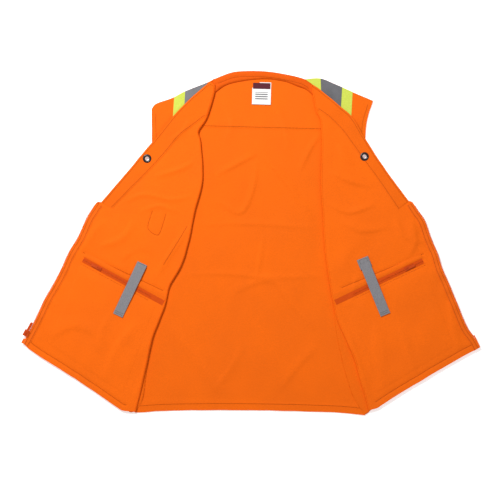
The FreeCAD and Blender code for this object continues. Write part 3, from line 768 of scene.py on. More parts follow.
def edge(places, step=EDGE_STEP):
    """An edge of cloth through given places, with the cloth's small unevenness."""
    path = curve(spots(*places), step)
    drift = wander(path, 28 * MM, 7.3)[:, None] * 0.7 * MM
    ends = np.minimum(np.arange(len(path)), np.arange(len(path))[::-1])[:, None]
    return path + normals_of(path) * drift * np.clip(ends / 6, 0, 1)


FOLD_PATHS = {name: edge(FOLDS[name]) for name in SIDES}
ZIP_PATHS = {name: curve(spots(*ZIP_EDGES[name][1:])) for name in SIDES}
EYELETS = {name: sum(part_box(f"{name}_grommet_eyelet"), Vector()) / 2 for name in SIDES}
STRAP_ENDS = {name: sum(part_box(f"{name}_strap_sewn_end"), Vector()) / 2 for name in SIDES}


# ---------------------------------------------------------------- heights of the cloth


def back_height(points):
    """Top of the back panel: low folds that fade out where the fronts lie on it."""
    relief = creases(points, BACK_CREASES)
    relief = relief + 1.1 * MM * (wander(points, 90 * MM, 1.5) + 0.4)
    relief = relief + 0.5 * MM * wander(points * (1.0, 0.45), 26 * MM, 4.1)
    for name, side in SIDES.items():
        distance, _, lies = from_path(points, FOLD_PATHS[name])
        inward = distance * lies * side
        relief = relief * ease(inward, 0, 16 * MM)
    hem = ease(points[:, 1] - HEM, 22 * MM, 17 * MM) * 0.5 * MM
    yoke_line = HEM + YOKE * MM
    yoke = ease(points[:, 1], yoke_line - 1.5 * MM, yoke_line + 0.5 * MM) * 0.7 * MM
    yoke = yoke * ease(points[:, 1], yoke_line + 40 * MM, yoke_line + 3 * MM)
    return BACK_TOP + np.maximum(relief, -0.2 * MM) + hem + yoke


def side_height(points):
    """Top of the side of each front that stays down, flat with a soft swell at the shoulder."""
    up = points[:, 1] - HEM
    swell = 0.9 * MM * (wander(points, 45 * MM, 2.2) + 0.4) * ease(up, 560 * MM, 620 * MM)
    return SIDE_TOP + np.maximum(swell, 0)


ZIP_WAVES = 9                                        # waves of the cloth along each main zip


def front_relief(points, name):
    """Height of a turned-out front above its flat place."""
    relief = creases(points, FRONT_CREASES[name])
    relief = relief + 1.4 * MM * (wander(points, 70 * MM, 3.7 + SIDES[name]) + 0.3)
    relief = relief + 0.8 * MM * (wander(points * (1.0, 0.6), 30 * MM, 8.4 + SIDES[name]) + 0.2)
    from_zip, share, _ = from_path(points, ZIP_PATHS[name])
    pucker = np.sin(share * 2 * math.pi * ZIP_WAVES) * bump(from_zip, 20 * MM)
    relief = relief + 0.9 * MM * (pucker + 0.4) * np.sin(np.pi * np.clip(share, 0, 1))
    for place, near, far in ((EYELETS[name], 14, 34), (STRAP_ENDS[name], 22, 45)):
        away = np.linalg.norm(points - np.array(place[:2]), axis=1)
        relief = relief * ease(away, near * MM, far * MM)
    for line, near, far in ((pocket_line(name), 12, 30), (strap_line(name), 16, 40)):
        beside_line = ease(from_path(points, line)[0], near * MM, far * MM)
        relief = relief * (0.3 + 0.7 * beside_line)
    tip = from_path(points, ZIP_PATHS[name][-12:])[0]
    return np.clip(relief, 0, 3.2 * MM) * ease(tip, 4 * MM, 30 * MM)


def front_height(points, name):
    """Top of a turned-out front, which rises a little towards its rolled fold."""
    distance = from_path(points, FOLD_PATHS[name])[0]
    swell = 0.6 * MM * bump(distance, 14 * MM)
    groove = np.zeros(len(points))
    for row in SEAM_ROWS[name]:
        near = inside_box(points, row, 8 * MM)
        depth = 0.9 * MM * bump(from_path(points[near], row)[0], 2.2 * MM)
        groove[near] = np.maximum(groove[near], depth)
    return FRONT_TOP + front_relief(points, name) + swell - groove


def pocket_line(name):
    """The middle of a front's pocket zip, from its outer end to its inner end."""
    low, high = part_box(f"{name}_pocket_zip_coil")
    side = SIDES[name]
    outer = (low.x if side < 0 else high.x, high.y)
    inner = (high.x if side < 0 else low.x, low.y)
    return np.array([outer, inner])


STRAP_LENGTH, STRAP_WIDTH = 127 * MM, 23 * MM


def strap_line(name):
    """The middle of a front's grey strap, from its hinge to its loose end."""
    hinge = np.array(STRAP_ENDS[name][:2])
    axis = JOINTS[f"{name}_strap_lift"]["axis"]
    down = np.array([-axis[1], axis[0]])
    if down[1] > 0:
        down = -down
    return np.array([hinge, hinge + down * STRAP_LENGTH])


CHEST_TAB = [(-231, 442), (-240, 408), (-234, 396), (-222, 389), (-213, 393), (-200, 436)]
CHEST_SEAM = [(-152, 410), (-176, 368), (-203, 322)]


def seam_rows(name, side):
    """The rows of stitches on a front's inside: hem, pocket welt, and on the left the chest pocket."""
    hem = beside(edge(FRONT_HEMS[name]), -side * 14 * MM)[4:-6]
    low, high = pocket_line(name)
    along = (high - low) / np.linalg.norm(high - low)
    above = np.array([-along[1], along[0]]) * -side
    welt = np.vstack([low - along * 8 * MM + above * 14 * MM, high + along * 18 * MM + above * 24 * MM])
    lip = np.vstack([low, high]) - above * 11 * MM
    rows = [hem, straight(welt), straight(lip)]
    if name == "left":
        rows.append(curve(spots(*CHEST_TAB)))
        rows.append(curve(spots(*CHEST_SEAM)))
    return rows


SEAM_ROWS = {name: seam_rows(name, side) for name, side in SIDES.items()}


# ---------------------------------------------------------------- back, sides and shoulders


def make_back():
    """The back panel with its yoke seam and hem; the bands on its outer face are made apart."""
    outline = loop(
        edge(HEM_LINE),
        curve(spots(*SIDE_SEAMS["right"])),
        edge(ARMHOLES["right"][::-1]),
        edge(SHOULDERS["right"][::-1]),
        curve(spots(*NECK_LINE)),
        edge(SHOULDERS["left"]),
        edge(ARMHOLES["left"]),
        curve(spots(*SIDE_SEAMS["left"])),
    )
    yoke = straight(spots((-240, YOKE), (240, YOKE)))
    foot = curve(spots(*HEM_LINE))
    hem = foot + (0, 18 * MM)
    rows = [yoke + (0, offset * MM) for offset in (-1.6, -0.6, 0.6)]
    rows += [hem + (0, offset * MM) for offset in (-1.2, 1.2)]
    back = sheet_of("back_cloth", outline, back_height, rows=rows)
    dress(back, "orange_cloth", "back", ["back_panel"])

    seams = stitches("back_stitching", [yoke[30:-30] + (0, 2.2 * MM), foot + (0, 15 * MM)], back_height)
    dress(seams, "thread", "back")
    declare(outline)


WAIST_LOW, WAIST_HIGH = 270, 370
BRACE_NEAR, BRACE_FAR = 101, 201
BRACE_TOP = 688
SILVER_INSET = 25
SIDE_BAND_END = 278


def level_at(height):
    """A flat surface at a height."""
    return lambda points: np.full(len(points), height)


def band_width(inset):
    """Width of a band or of the tape on it, which an inset narrows on both sides."""
    return (BRACE_FAR - BRACE_NEAR - 2 * inset) * MM


def back_band(inset):
    """Outline of the waist band and braces of the back's outer face, narrowed by an inset."""
    near, far = BRACE_NEAR + inset, BRACE_FAR - inset
    low, high = WAIST_LOW + inset, WAIST_HIGH - inset
    right = [(SIDE_BAND_END, low), (SIDE_BAND_END, high), (far, high),
             (far, BRACE_TOP), (near, BRACE_TOP), (near, high)]
    left = [(-x, up) for x, up in right[::-1]]
    return straight(with_start(spots(*right, *left)), 12 * MM)[:-1]


def make_back_bands():
    """The lime bands under the back panel, with silver tape under them."""
    for label, inset, material, node in (
            ("back_lime_bands", 0, "lime_band", "back_contrast_bands"),
            ("back_silver_tapes", SILVER_INSET, "silver_tape", "back_reflective_tapes")):
        outline = back_band(inset)
        piece = sheet_of(label, outline, level_at(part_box(node)[1].z), 0.4 * MM, 12 * MM)
        dress(piece, material, "back", [node])
        declare_tape(outline, band_width(inset))


def make_side(name, side):
    """The side of a front that stays down, from under the fold to the armhole and the shoulder."""
    under_fold = beside(FOLD_PATHS[name], side * -10 * MM)
    foot = spots((side * 278, 32))
    outline = loop(
        straight(np.vstack([under_fold[0], foot])),
        curve(np.vstack([foot, spots((side * 284, 200), (side * 289, 394))])),
        edge(ARMHOLES[name][::-1]),
        edge(SHOULDERS[name][::-1]),
        straight(np.vstack([spots(SHOULDERS[name][0]), under_fold[-1]])),
        under_fold[::-1],
    )
    side_cloth = sheet_of(f"{name}_side_cloth", outline, side_height)
    dress(side_cloth, "orange_cloth", "back", [f"{name}_side_front"])
    hem_row = beside(edge(ARMHOLES[name]), -side * 9 * MM)
    seams = stitches(f"{name}_armhole_stitching", [hem_row[4:60]], side_height)
    dress(seams, "thread", "back")
    declare(outline)


SHOULDER_SPANS = {                                   # where each band meets the shoulder's edge
    "left": {"lime": (114, 190), "silver": (114, 165)},
    "right": {"lime": (103, 212), "silver": (138, 188)},
}
NECK_CORNERS = {                                     # its corner beside the neck, hidden by the front
    "left": {"lime": (-120, 718), "silver": (-120, 714)},
    "right": {"lime": (127, 727), "silver": (142, 700)},
}
SIDE_BAND_LIFTS = {"lime": 0.45 * MM, "silver": 0.95 * MM}
SIDE_BAND_TOP = 685                                  # the bands keep clear of the fold up to here


def make_side_bands(name, side):
    """The lime and silver brace and waist bands on the side cloth, from the shoulder down beside the fold."""
    shoulder = curve(spots(*SHOULDERS[name]), 2 * MM)
    beside_fold = beside(FOLD_PATHS[name], -side * 15 * MM)
    up = (beside_fold[:, 1] - HEM) / MM
    bands = (("lime", "lime_band", "shoulder_contrast", 0),
             ("silver", "silver_tape", "shoulder_reflective", SILVER_INSET))
    for band, material, node, inset in bands:
        near, far = SHOULDER_SPANS[name][band]
        across = abs(shoulder[:, 0])
        top_edge = shoulder[(across >= near * MM) & (across <= far * MM)]
        low, high = WAIST_LOW + inset, WAIST_HIGH - inset
        end = side * SIDE_BAND_END
        waist = spots((side * (BRACE_FAR - inset), high), (end, high), (end, low))
        inner = beside_fold[(up > low) & (up < SIDE_BAND_TOP)]
        inner[:, 0] = side * np.maximum(abs(inner[:, 0]), (BRACE_NEAR + inset) * MM)
        corner = spots(NECK_CORNERS[name][band])
        outline = straight(with_start(np.vstack([top_edge, waist, inner, corner])), 6 * MM)[:-1]
        lift = SIDE_BAND_LIFTS[band]
        piece = sheet_of(f"{name}_side_{band}", outline, lambda p: side_height(p) + lift, 0.4 * MM)
        dress(piece, material, "back", [f"{name}_{node}"])
        declare_tape(outline, band_width(inset))


COLLAR_TOP = [(-104, 741), (-66, 757), (-38, 762), (12, 763), (57, 758), (102, 748), (128, 732)]
COLLAR_LOW = [(-104, 705), (-76, 727), (-40, 738), (14, 745), (57, 741), (84, 732), (108, 723), (128, 706)]


def make_collar():
    """The padded band round the back of the neck, thicker along its middle."""
    outline = loop(curve(spots(*COLLAR_TOP)), straight(spots(COLLAR_TOP[-1], COLLAR_LOW[-1])),
                   curve(spots(*COLLAR_LOW[::-1])), straight(spots(COLLAR_LOW[0], COLLAR_TOP[0])))
    seam = beside(curve(spots(*COLLAR_TOP)), -13 * MM)
    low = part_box("collar")[0].z

    def crown(points):
        depth = from_outline(points, outline)
        rounded = dome(depth, 7 * MM)
        groove = 0.8 * MM * bump(from_path(points, seam)[0], 2 * MM)
        return low + 1.0 * MM + 3.6 * MM * rounded - groove * rounded

    collar = shell("neck_collar", outline, crown, level_at(low), 2.5 * MM)
    dress(collar, "collar_cloth", "back", ["collar"])
    seams = stitches("collar_stitching", [seam[3:-3]], crown)
    dress(seams, "thread", "back")


# ---------------------------------------------------------------- turned-out fronts


EYELET_HOLE = 5.8 * MM                                # radius of the cloth's hole round a grommet's barrel
UNDER_LEVEL = SIDE_TOP + 0.3 * MM                     # where the cloth lies again after its fold
BLEND_LOW, BLEND_HIGH = 5.0 * MM, 5.2 * MM            # the fold's roll keeps its upper half above these heights and its lower half below them
BLEND_MARGIN = 0.1 * MM                               # no point of the roll lies nearer to these heights


def roll_section(top):
    """The fold's section from the top of the front, down and back under it: outward moves and heights."""
    middle = (top + UNDER_LEVEL) / 2
    radius = (top - UNDER_LEVEL) / 2
    section = []
    for degrees in (0, 18, 36, 54, 72, 104, 128, 152, 180):
        angle = math.radians(degrees)
        height = middle + radius * math.cos(angle)
        if degrees < 90:
            height = max(height, BLEND_HIGH + BLEND_MARGIN)
        else:
            height = min(height, BLEND_LOW - BLEND_MARGIN)
        section.append((-radius * math.sin(angle), height))
    return section + [(5 * MM, UNDER_LEVEL), (14 * MM, UNDER_LEVEL)]


def make_front_cloth(name, side):
    """The front panel, inside up, whose fold rolls over and back under it onto the side cloth."""
    fold = FOLD_PATHS[name]
    outline = loop(fold, edge(V_EDGES[name]), edge(ZIP_EDGES[name]), edge(FRONT_HEMS[name]))
    hole = circle(EYELETS[name], EYELET_HOLE)
    rows = [beside(fold, -side * 3 * MM), beside(fold, -side * 7 * MM)]
    rows += [beside(row, gap * MM) for row in SEAM_ROWS[name] for gap in (-2.5, 0, 2.5)]
    points, faces = fill(outline, GRID, [hole], rows)
    faces = upward(points, faces)
    heights = front_height(points, name)
    space = [tuple(p) for p in np.column_stack([points, heights])]

    outward = normals_of(fold) * -side
    everything = [tuple(face) for face in faces]
    before = list(range(len(fold)))
    sections = [roll_section(heights[n]) for n in range(len(fold))]
    for k in range(1, len(sections[0])):
        here = list(range(len(space), len(space) + len(fold)))
        for n in range(len(fold)):
            across, height = sections[n][k]
            place = fold[n] + outward[n] * across
            space.append((place[0], place[1], height))
        for n in range(len(fold) - 1):
            quad = (before[n], before[n + 1], here[n + 1], here[n])
            everything.append(quad if side < 0 else quad[::-1])
        before = here
    panel = mesh_piece(f"{name}_front_cloth", space, everything)
    thicken(panel, CLOTH)
    dress(panel, "front_cloth", None, [f"{name}_front_panel"])
    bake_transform(panel)
    seams = front_stitching(name)
    declare(outline)


def thicken(piece, thickness):
    """Give a surface its thickness on the side away from its faces."""
    solid = piece.modifiers.new("thickness", "SOLIDIFY")
    solid.thickness = thickness
    solid.offset = -1
    graph = bpy.context.evaluated_depsgraph_get()
    made = bpy.data.meshes.new_from_object(piece.evaluated_get(graph))
    piece.modifiers.clear()
    piece.data = made
    made.shade_smooth()
    made.set_sharp_from_angle(angle=SHARP)


def front_stitching(name):
    """The stitches in a front's seam rows."""
    seams = stitches(f"{name}_front_stitching", SEAM_ROWS[name], lambda p: front_height(p, name) + 0.3 * MM)
    return dress(seams, "thread", f"{name}_front")


def make_facing(name, side):
    """The facing along the V edge, sewn down on the front, with the grommet through both."""
    inner = edge(FACING_EDGES[name])
    start = int(np.argmin(np.linalg.norm(FOLD_PATHS[name] - inner[0], axis=1)))
    fold_part = FOLD_PATHS[name][start:]
    v_edge = edge(V_EDGES[name])
    reach = straight(np.vstack([v_edge[-1], inner[-1]]))
    outline = loop(fold_part, v_edge, reach, inner[::-1], straight(np.vstack([inner[0], fold_part[0]])))
    centre = EYELETS[name]
    hole = circle(centre, EYELET_HOLE)

    def top(points):
        depth = from_path(points, inner)[0]
        rounded = dome(depth, 2.5 * MM)
        ripple = 0.35 * MM * np.maximum(wander(points, 22 * MM, 5.5 + side), 0)
        away = np.linalg.norm(points - np.array(centre[:2]), axis=1)
        ripple = ripple * ease(away, 12 * MM, 30 * MM)
        return front_height(points, name) + 0.2 * MM + 0.6 * MM * rounded + ripple

    facing = shell(f"{name}_facing", outline, top, lambda p: front_height(p, name) + 0.02 * MM,
                   3.5 * MM, [hole], [beside(inner, side * 2 * MM)])
    dress(facing, "facing_cloth", f"{name}_front", [f"{name}_neck_facing"])
    rows = [beside(inner, side * 4 * MM), beside(v_edge, side * -4 * MM)]
    seams = stitches(f"{name}_facing_stitching", rows, top)
    dress(seams, "thread", f"{name}_front")
    declare_tape(outline, 62 * MM)


def make_grommet(name):
    """A rolled eyelet pressed through facing and panel, and its washer behind them."""
    low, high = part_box(f"{name}_grommet_eyelet")
    centre = (low + high) / 2
    bore = 4.76 * MM
    barrel = 5.55 * MM
    lip, rise = 0.6 * MM, 1.1 * MM
    flange = high.x - centre.x
    middle = (bore + flange) / 2
    profile = [(bore, low.z), (bore, high.z - lip)]
    for degrees in range(0, 181, 20):
        angle = math.radians(degrees)
        across = middle - (flange - bore) / 2 * math.cos(angle)
        profile.append((across, high.z - lip + rise * math.sin(angle)))
    under_flange = high.z - 0.8 * MM
    profile += [(flange, under_flange), (barrel, under_flange), (barrel, low.z)]
    eyelet = lathe(f"{name}_eyelet", centre, profile)
    dress(eyelet, "grommet_metal", f"{name}_front", [f"{name}_grommet_eyelet"])
    low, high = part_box(f"{name}_grommet_washer")
    outer = (high.x - low.x) / 2
    inner = barrel + 0.1 * MM
    bevel = 0.3 * MM
    profile = [(inner, low.z), (inner, high.z), (outer - bevel, high.z),
               (outer, high.z - bevel), (outer, low.z + bevel), (outer - bevel, low.z)]
    washer = lathe(f"{name}_washer", centre, profile)
    dress(washer, "grommet_metal", f"{name}_front", [f"{name}_grommet_washer"])


MAIN_TAPE, POCKET_TAPE = 15 * MM, 12 * MM             # widths of the zips' tapes that show


def make_zip(name, side):
    """Half of the main zip along the front's edge: tape, coil and its row of stitches."""
    path = ZIP_PATHS[name]
    inner = beside(path, -side * MAIN_TAPE)
    tape_outer = beside(path, -side * 0.5 * MM)
    outline = between(tape_outer, inner)

    def top(points):
        return front_height(points, name) + 0.7 * MM

    tape = sheet_of(f"{name}_main_tape", outline, top, 0.6 * MM, 3 * MM)
    dress(tape, "zip_tape", f"{name}_front", [f"{name}_zip_tape"])
    rows = [beside(path, -side * 12.5 * MM), beside(path, -side * 5 * MM)]
    seams = stitches(f"{name}_zip_stitching", rows, top)
    dress(seams, "thread", f"{name}_front")
    declare_tape(outline, MAIN_TAPE)

    low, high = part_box(f"{name}_zip_coil")
    radius = (high.z - low.z) / 2
    run = beside(path, side * 0.4 * MM)[3:-9]
    line = np.column_stack([run, front_height(run, name) + 0.4 * MM])
    wound = coil(f"{name}_main_coil", line, radius, 1.9 * MM, 0.38 * MM)
    dress(wound, "zip_coil", f"{name}_front", [f"{name}_zip_coil"])


WELT = (5.5 * MM, 18 * MM)                            # the welt's edges, above the middle of the pocket zip
POCKET_DRAWN = (380, 340)                             # outer end of the zip where the bag's foot was drawn
BAG_FOOT = [(283, 42), (455, 150)]


def make_pocket(name, side):
    """The inner pocket: its bag, the welt above its zip, the zip's tape and coil."""
    start, end = pocket_line(name)
    along = (end - start) / np.linalg.norm(end - start)
    up = np.array([-along[1], along[0]]) * -side
    onward = end + along * np.arange(0, 90 * MM, 1 * MM)[:, None]
    reach = onward[np.argmin(from_path(onward, FOLD_PATHS[name])[0])] - along * 1.5 * MM

    def on_front(lift):
        return lambda points: front_height(points, name) + lift

    tape_outline = oblong(start, reach, -up * POCKET_TAPE / 2, up * POCKET_TAPE / 2)
    # the tape's dark colour is partly painted shade for the shadow of the welt above it
    tape = sheet_of(f"{name}_pocket_tape", tape_outline, on_front(0.4 * MM), 0.35 * MM, 3 * MM)
    dress(tape, "pocket_tape", f"{name}_front", [f"{name}_pocket_zip_tape"])
    declare_tape(tape_outline, POCKET_TAPE)

    near, far = WELT
    welt_outline = oblong(start - along * 3 * MM, reach, up * near, up * far)

    def welt_top(points):
        rounded = dome(from_outline(points, welt_outline), 4 * MM)
        flattened = 0.2 + 0.8 * ease(from_path(points, FOLD_PATHS[name])[0], 12 * MM, 50 * MM)
        return front_height(points, name) + 0.2 * MM + 1.15 * MM * rounded * flattened

    welt = shell(f"{name}_upper_welt", welt_outline, welt_top, on_front(0.02 * MM), 2.5 * MM)
    dress(welt, "facing_cloth", f"{name}_front", [f"{name}_pocket_welt"])
    declare_tape(welt_outline, far - near)

    shift = start - spots((side * POCKET_DRAWN[0], POCKET_DRAWN[1]))[0]
    corners = spots(*[(side * across, height) for across, height in BAG_FOOT]) + shift
    first, last = start - up * 7.5 * MM, reach - along * 14 * MM - up * 7.5 * MM
    outline = straight(with_start(np.vstack([corners, first, last])))[:-1]

    def bag_top(points):
        return front_height(points, name) + 0.1 * MM + 0.4 * MM * dome(from_outline(points, outline), 3 * MM)

    bag = shell(f"{name}_pocket_bag", outline, bag_top, on_front(0.02 * MM), GRID)
    dress(bag, "front_cloth", f"{name}_front", [f"{name}_inner_pocket_bag"])
    declare(outline)

    middle = resample(np.vstack([start, end]), 4 * MM)
    radius = 0.8 * MM
    line = np.column_stack([middle, front_height(middle, name) + 0.4 * MM + radius])
    wound = coil(f"{name}_pocket_coil", line, radius, 1.3 * MM, 0.26 * MM)
    dress(wound, "zip_coil", f"{name}_front", [f"{name}_pocket_zip_coil"])


STRAP_REACH = {"left": 2 * MM, "right": 10 * MM}      # how far the sewn end goes above the strap's hinge
PATCH_HALF = {"left": 11.7 * MM, "right": 13.5 * MM}


def make_strap(name):
    """The grey webbing strap that hangs over the pocket zip, and its sewn end."""
    hinge, loose_end = strap_line(name)
    down = (loose_end - hinge) / STRAP_LENGTH
    across = np.array([-down[1], down[0]])
    half = STRAP_WIDTH / 2
    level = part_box(f"{name}_pocket_strap")[1].z

    def block(first, last, wide):
        return oblong(hinge + down * first, hinge + down * last, -across * wide, across * wide)

    outline = block(1 * MM, STRAP_LENGTH, half)

    def top(points):
        along = (points - hinge) @ down
        sideways = (points - hinge) @ across
        sag = 1.8 * MM * ease(along, 78 * MM, 120 * MM)
        edge_bead = 0.25 * MM * bump(abs(sideways) - half + 1.2 * MM, 0.9 * MM)
        wave = 0.25 * MM * np.sin(along / (17 * MM)) * ease(along, 10 * MM, 30 * MM)
        return level - 0.1 * MM - sag + edge_bead + wave

    strap = sheet_of(f"{name}_webbing_strap", outline, top, 0.8 * MM, 2.5 * MM)
    dress(strap, f"{name}_webbing", f"{name}_strap", [f"{name}_pocket_strap"])
    near_end = hinge + down * (STRAP_LENGTH - 8 * MM)
    row = straight(np.array([near_end - across * half * 0.8, near_end + across * half * 0.8]))
    rows = [row, row + down * 4 * MM]
    seams = stitches(f"{name}_strap_stitching", rows, top)
    dress(seams, "grey_thread", f"{name}_strap")
    declare_tape(outline, STRAP_WIDTH)

    low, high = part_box(f"{name}_strap_sewn_end")
    patch_outline = block(-STRAP_REACH[name], 14 * MM, PATCH_HALF[name])

    def patch_top(points):
        depth = from_outline(points, patch_outline)
        rounded = dome(depth, 3 * MM)
        return high.z - 1.4 * MM + 1.2 * MM * rounded

    patch = shell(f"{name}_sewn_patch", patch_outline, patch_top, level_at(low.z), 2 * MM)
    dress(patch, f"{name}_webbing", f"{name}_front", [f"{name}_strap_sewn_end"])
    ring = block(2 * MM - STRAP_REACH[name], 11 * MM, 9 * MM)
    seams = stitches(f"{name}_patch_stitching", [with_start(ring)], patch_top)
    dress(seams, "grey_thread", f"{name}_front")


# ---------------------------------------------------------------- outer face of the fronts


def clear_of_fold(points, name, side, gap=14 * MM):
    """The same outline without its points that lie past a front's fold or nearer to it than a gap."""
    distance, _, lies = from_path(points, FOLD_PATHS[name])
    return points[distance * lies * side < -gap]


DRAWN_EYELET = (243, 571)                            # a grommet's place on the vest as its outside was drawn
FOLD_FOOT, FOLD_NECK = (272, 0), (99, 720)           # ends of the fold line on the closed vest


def slide_of(name, side):
    """How far a front lies from where it was drawn, as its grommet shows."""
    return np.array(EYELETS[name][:2]) - spots((side * DRAWN_EYELET[0], DRAWN_EYELET[1]))[0]


def closed_block(name, side, x, up, width, length):
    """A rectangle of the closed vest's outer face, as it lies turned out."""
    start, end = spots((side * x, up), (side * (x + width), up)) + slide_of(name, side)
    drawn = oblong(start, end, 0, (0, length * MM), 5 * MM)
    return clear_of_fold(turned_out(drawn, name), name, side)


def make_outer_bands(name, side):
    """The lime band round a front's waist and up its brace, and the silver tape on it."""
    slope = (FOLD_FOOT[0] - FOLD_NECK[0]) / FOLD_NECK[1]

    def outline(inset, clear):
        near, low, high = BRACE_NEAR + inset, WAIST_LOW + inset, WAIST_HIGH - inset
        start = 8
        tip = near + 4
        fold_x = FOLD_FOOT[0] - low * slope - clear
        top = (FOLD_FOOT[0] - clear - tip) / slope
        corners = [(start, low), (fold_x, low), (tip, top), (near, top), (near, high), (start, high)]
        drawn = with_start(spots(*[(side * across, up) for across, up in corners]) + slide_of(name, side))
        return clear_of_fold(turned_out(straight(drawn, 6 * MM), name)[:-1], name, side)

    for label, inset, clear, drop, material, node in (
            ("outer_lime_bands", 0, 4, 0.05, "lime_band", "front_contrast_bands"),
            ("outer_silver_tapes", SILVER_INSET, 5, 0.5, "silver_tape", "front_reflective_tapes")):
        shape = outline(inset, clear)
        under = CLOTH + drop * MM
        piece = sheet_of(f"{name}_{label}", shape, lambda p: front_height(p, name) - under, 0.4 * MM)
        dress(piece, material, f"{name}_front", [f"{name}_{node}"])
        declare_tape(shape, band_width(inset))


def make_outer_pockets(name, side):
    """The cargo pocket low on a front, the flap over its mouth, and the pen pocket on the chest."""
    for label, x, up, width, length, lift, deep in (
            ("cargo_pocket", 30, 40, 170, 192, 0.05, 1.4),
            ("cargo_flap", 30, 184, 170, 48, 1.8, 0.5),
            ("pen_pocket", 28, 380, 70, 95, 0.05, 1.2)):
        shape = closed_block(name, side, x, up, width, length)
        under = CLOTH + lift * MM

        def bottom(points):
            rounded = dome(from_outline(points, shape), 9 * MM)
            return front_height(points, name) - under - 0.3 * MM - deep * MM * rounded

        piece = shell(f"{name}_outer_{label}", shape, lambda p: front_height(p, name) - under, bottom)
        dress(piece, "orange_cloth", f"{name}_front", [f"{name}_{label}"])


# ---------------------------------------------------------------- binding, label and small hard parts

BINDINGS = {
    "left": [(-257, -10), (-240, 24), (-232, 121), (-226, 160)],
    "right": [(256, -3), (231, 36), (211, 92), (189, 179), (182, 246)],
}


def make_binding(name, side):
    """The strip of side seam that shows beside the foot of a fold."""
    inner = edge(BINDINGS[name])
    until = int(np.argmin(np.linalg.norm(FOLD_PATHS[name] - inner[-1], axis=1)))
    fold_part = beside(FOLD_PATHS[name][:until + 1], side * -6 * MM)
    outline = between(inner, fold_part)

    def top(points):
        depth = from_path(points, inner)[0]
        rounded = dome(depth, 3 * MM)
        return SIDE_TOP - 0.4 * MM + 2.0 * MM * rounded

    strip = shell(f"{name}_seam_strip", outline, top, level_at(BACK_TOP + 0.1 * MM), 3 * MM)
    dress(strip, "binding_cloth", "back", [f"{name}_side_seam_binding"])
    declare_tape(outline, 20 * MM)


def make_label():
    """The care label, curling a little, and the plain header strip on it."""
    low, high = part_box("care_label")
    header_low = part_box("label_header")[0].y

    def rectangle(bottom, inset):
        start, end = np.array([(low.x + inset, bottom), (high.x - inset, bottom)])
        return oblong(start, end, 0, (0, high.y - inset - bottom), 2 * MM)

    def top(points):
        hang = (high.y - points[:, 1]) / (high.y - low.y)
        across = (points[:, 0] - low.x) / (high.x - low.x) - 0.5
        return high.z + 0.1 * MM + 1.6 * MM * hang**2 + 1.0 * MM * across**2 * hang

    outline = rectangle(low.y, 0)
    label = sheet_of("neck_care_label", outline, top, 0.4 * MM, 2.5 * MM)
    dress(label, "label_cloth", "neck_label", ["care_label"])
    declare(outline)
    header_outline = rectangle(header_low, 1.5 * MM)
    header = sheet_of("neck_label_header", header_outline, lambda p: top(p) + 0.3 * MM, 0.28 * MM, 2.5 * MM)
    dress(header, "header_cloth", "neck_label", ["label_header"])
    declare(header_outline)


HARD_NODES = {
    "zip_slider": ["main_zip_slider", "main_zip_pull", "left_pocket_slider", "right_pocket_slider",
                   "left_pocket_pull", "right_pocket_pull"],
    "zip_moulding": ["zip_retainer_box", "zip_insertion_pin", "left_zip_top_stop", "right_zip_top_stop"],
}


def finish_hard_parts():
    """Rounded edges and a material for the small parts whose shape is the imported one."""
    for material, names in HARD_NODES.items():
        for name in names:
            node = frame["nodes"][name]
            node.data.materials.clear()
            node.data.materials.append(MATERIALS[material])
            round_off = node.modifiers.new("round", "BEVEL")
            round_off.width = 0.25 * MM
            round_off.segments = 3
            round_off.limit_method = "ANGLE"


def make_bails():
    """The wire bridge on each slider that its pull tab hangs from."""
    for body in ("main_zip_slider", "left_pocket_slider", "right_pocket_slider"):
        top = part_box(body)[1].z
        pull = body.replace("slider", "pull")
        swing = JOINTS["main_zip_pull_swing" if body.startswith("main") else f"{pull}_swing"]
        hinge = np.array(swing["pos_m"])
        axis = np.array(swing["axis"])
        along = np.cross(axis, (0, 0, 1))
        angle = np.linspace(-0.35, math.pi + 0.35, 17)[:, None]
        foot = np.array([hinge[0], hinge[1], top])
        rise = np.array([0, 0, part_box(pull)[1].z + 1.0 * MM - top])
        line = foot + along * (2.6 * MM * np.cos(angle) + 0.8 * MM) + rise * np.sin(angle)
        bail = tube(f"{body}_bail", line, 0.45 * MM, 8)
        dress(bail, "zip_slider", body)


# ---------------------------------------------------------------- stage

VIEW_WIDTH = 1.125                                   # of the floor that the picture shows, in metres
VIEW_CENTRE = (-0.0096, -0.0235)
VIEW_TURN = math.radians(1.52)
FLOOR_HALF, FLOOR_LEVEL = 4.0, -0.2 * MM
LIGHTS = {                                           # place, width and power of each
    "key": ((-0.85, 1.15, 1.8), 0.6, 56),
    "fill": ((1.2, -1.0, 2.4), 1.8, 15),
}


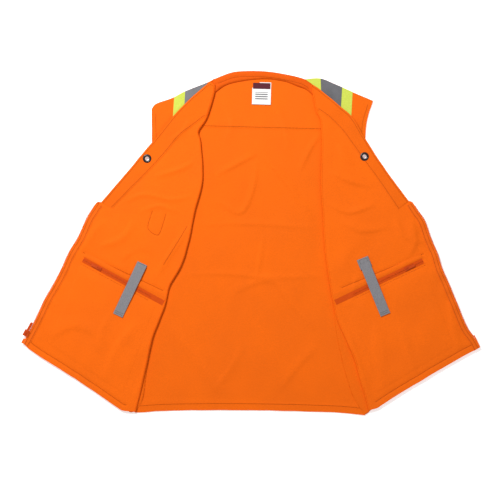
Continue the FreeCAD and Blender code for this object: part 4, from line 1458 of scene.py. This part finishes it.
def make_stage():
    """A pale floor, soft light from the upper left and all round, and the camera straight above."""
    corners = [(x * FLOOR_HALF, y * FLOOR_HALF, FLOOR_LEVEL) for x, y in ((-1, -1), (1, -1), (1, 1), (-1, 1))]
    floor = mesh_piece("floor", corners, [(0, 1, 2, 3)])
    paper = Finish("pale_floor", 0.9, (0.93, 0.93, 0.93))
    paper.shader.inputs["Emission Color"].default_value = (1, 1, 1, 1)
    paper.shader.inputs["Emission Strength"].default_value = 0.35
    floor.data.materials.append(paper.material)

    world = bpy.data.worlds.new("studio")
    world.use_nodes = True
    sky = world.node_tree.nodes["Background"]
    sky.inputs["Color"].default_value = (1, 1, 1, 1)
    sky.inputs["Strength"].default_value = 0.38
    bpy.context.scene.world = world
    for label, (place, wide, power) in LIGHTS.items():
        lamp = bpy.data.lights.new(label, "AREA")
        lamp.size = wide
        lamp.energy = power
        light = bpy.data.objects.new(label, lamp)
        light.location = place
        light.rotation_mode = "QUATERNION"
        light.rotation_quaternion = (-Vector(place)).to_track_quat("-Z", "Y")
        bpy.context.scene.collection.objects.link(light)

    lens = bpy.data.cameras.new("camera")
    lens.sensor_width = 36
    lens.lens = 85
    camera = bpy.data.objects.new("camera", lens)
    distance = VIEW_WIDTH * lens.lens / lens.sensor_width
    camera.location = (*VIEW_CENTRE, distance)
    camera.rotation_euler = (0, 0, VIEW_TURN)
    bpy.context.scene.collection.objects.link(camera)
    bpy.context.scene.camera = camera
    bpy.context.scene.view_settings.view_transform = "Standard"


# ---------------------------------------------------------------- all of it

make_stage()
make_back()
make_back_bands()
make_collar()
make_label()
for side_name, side_sign in SIDES.items():
    make_side(side_name, side_sign)
    make_binding(side_name, side_sign)
    make_side_bands(side_name, side_sign)
    make_front_cloth(side_name, side_sign)
    make_facing(side_name, side_sign)
    make_grommet(side_name)
    make_zip(side_name, side_sign)
    make_pocket(side_name, side_sign)
    make_strap(side_name)
    make_outer_bands(side_name, side_sign)
    make_outer_pockets(side_name, side_sign)
make_bails()
finish_hard_parts()
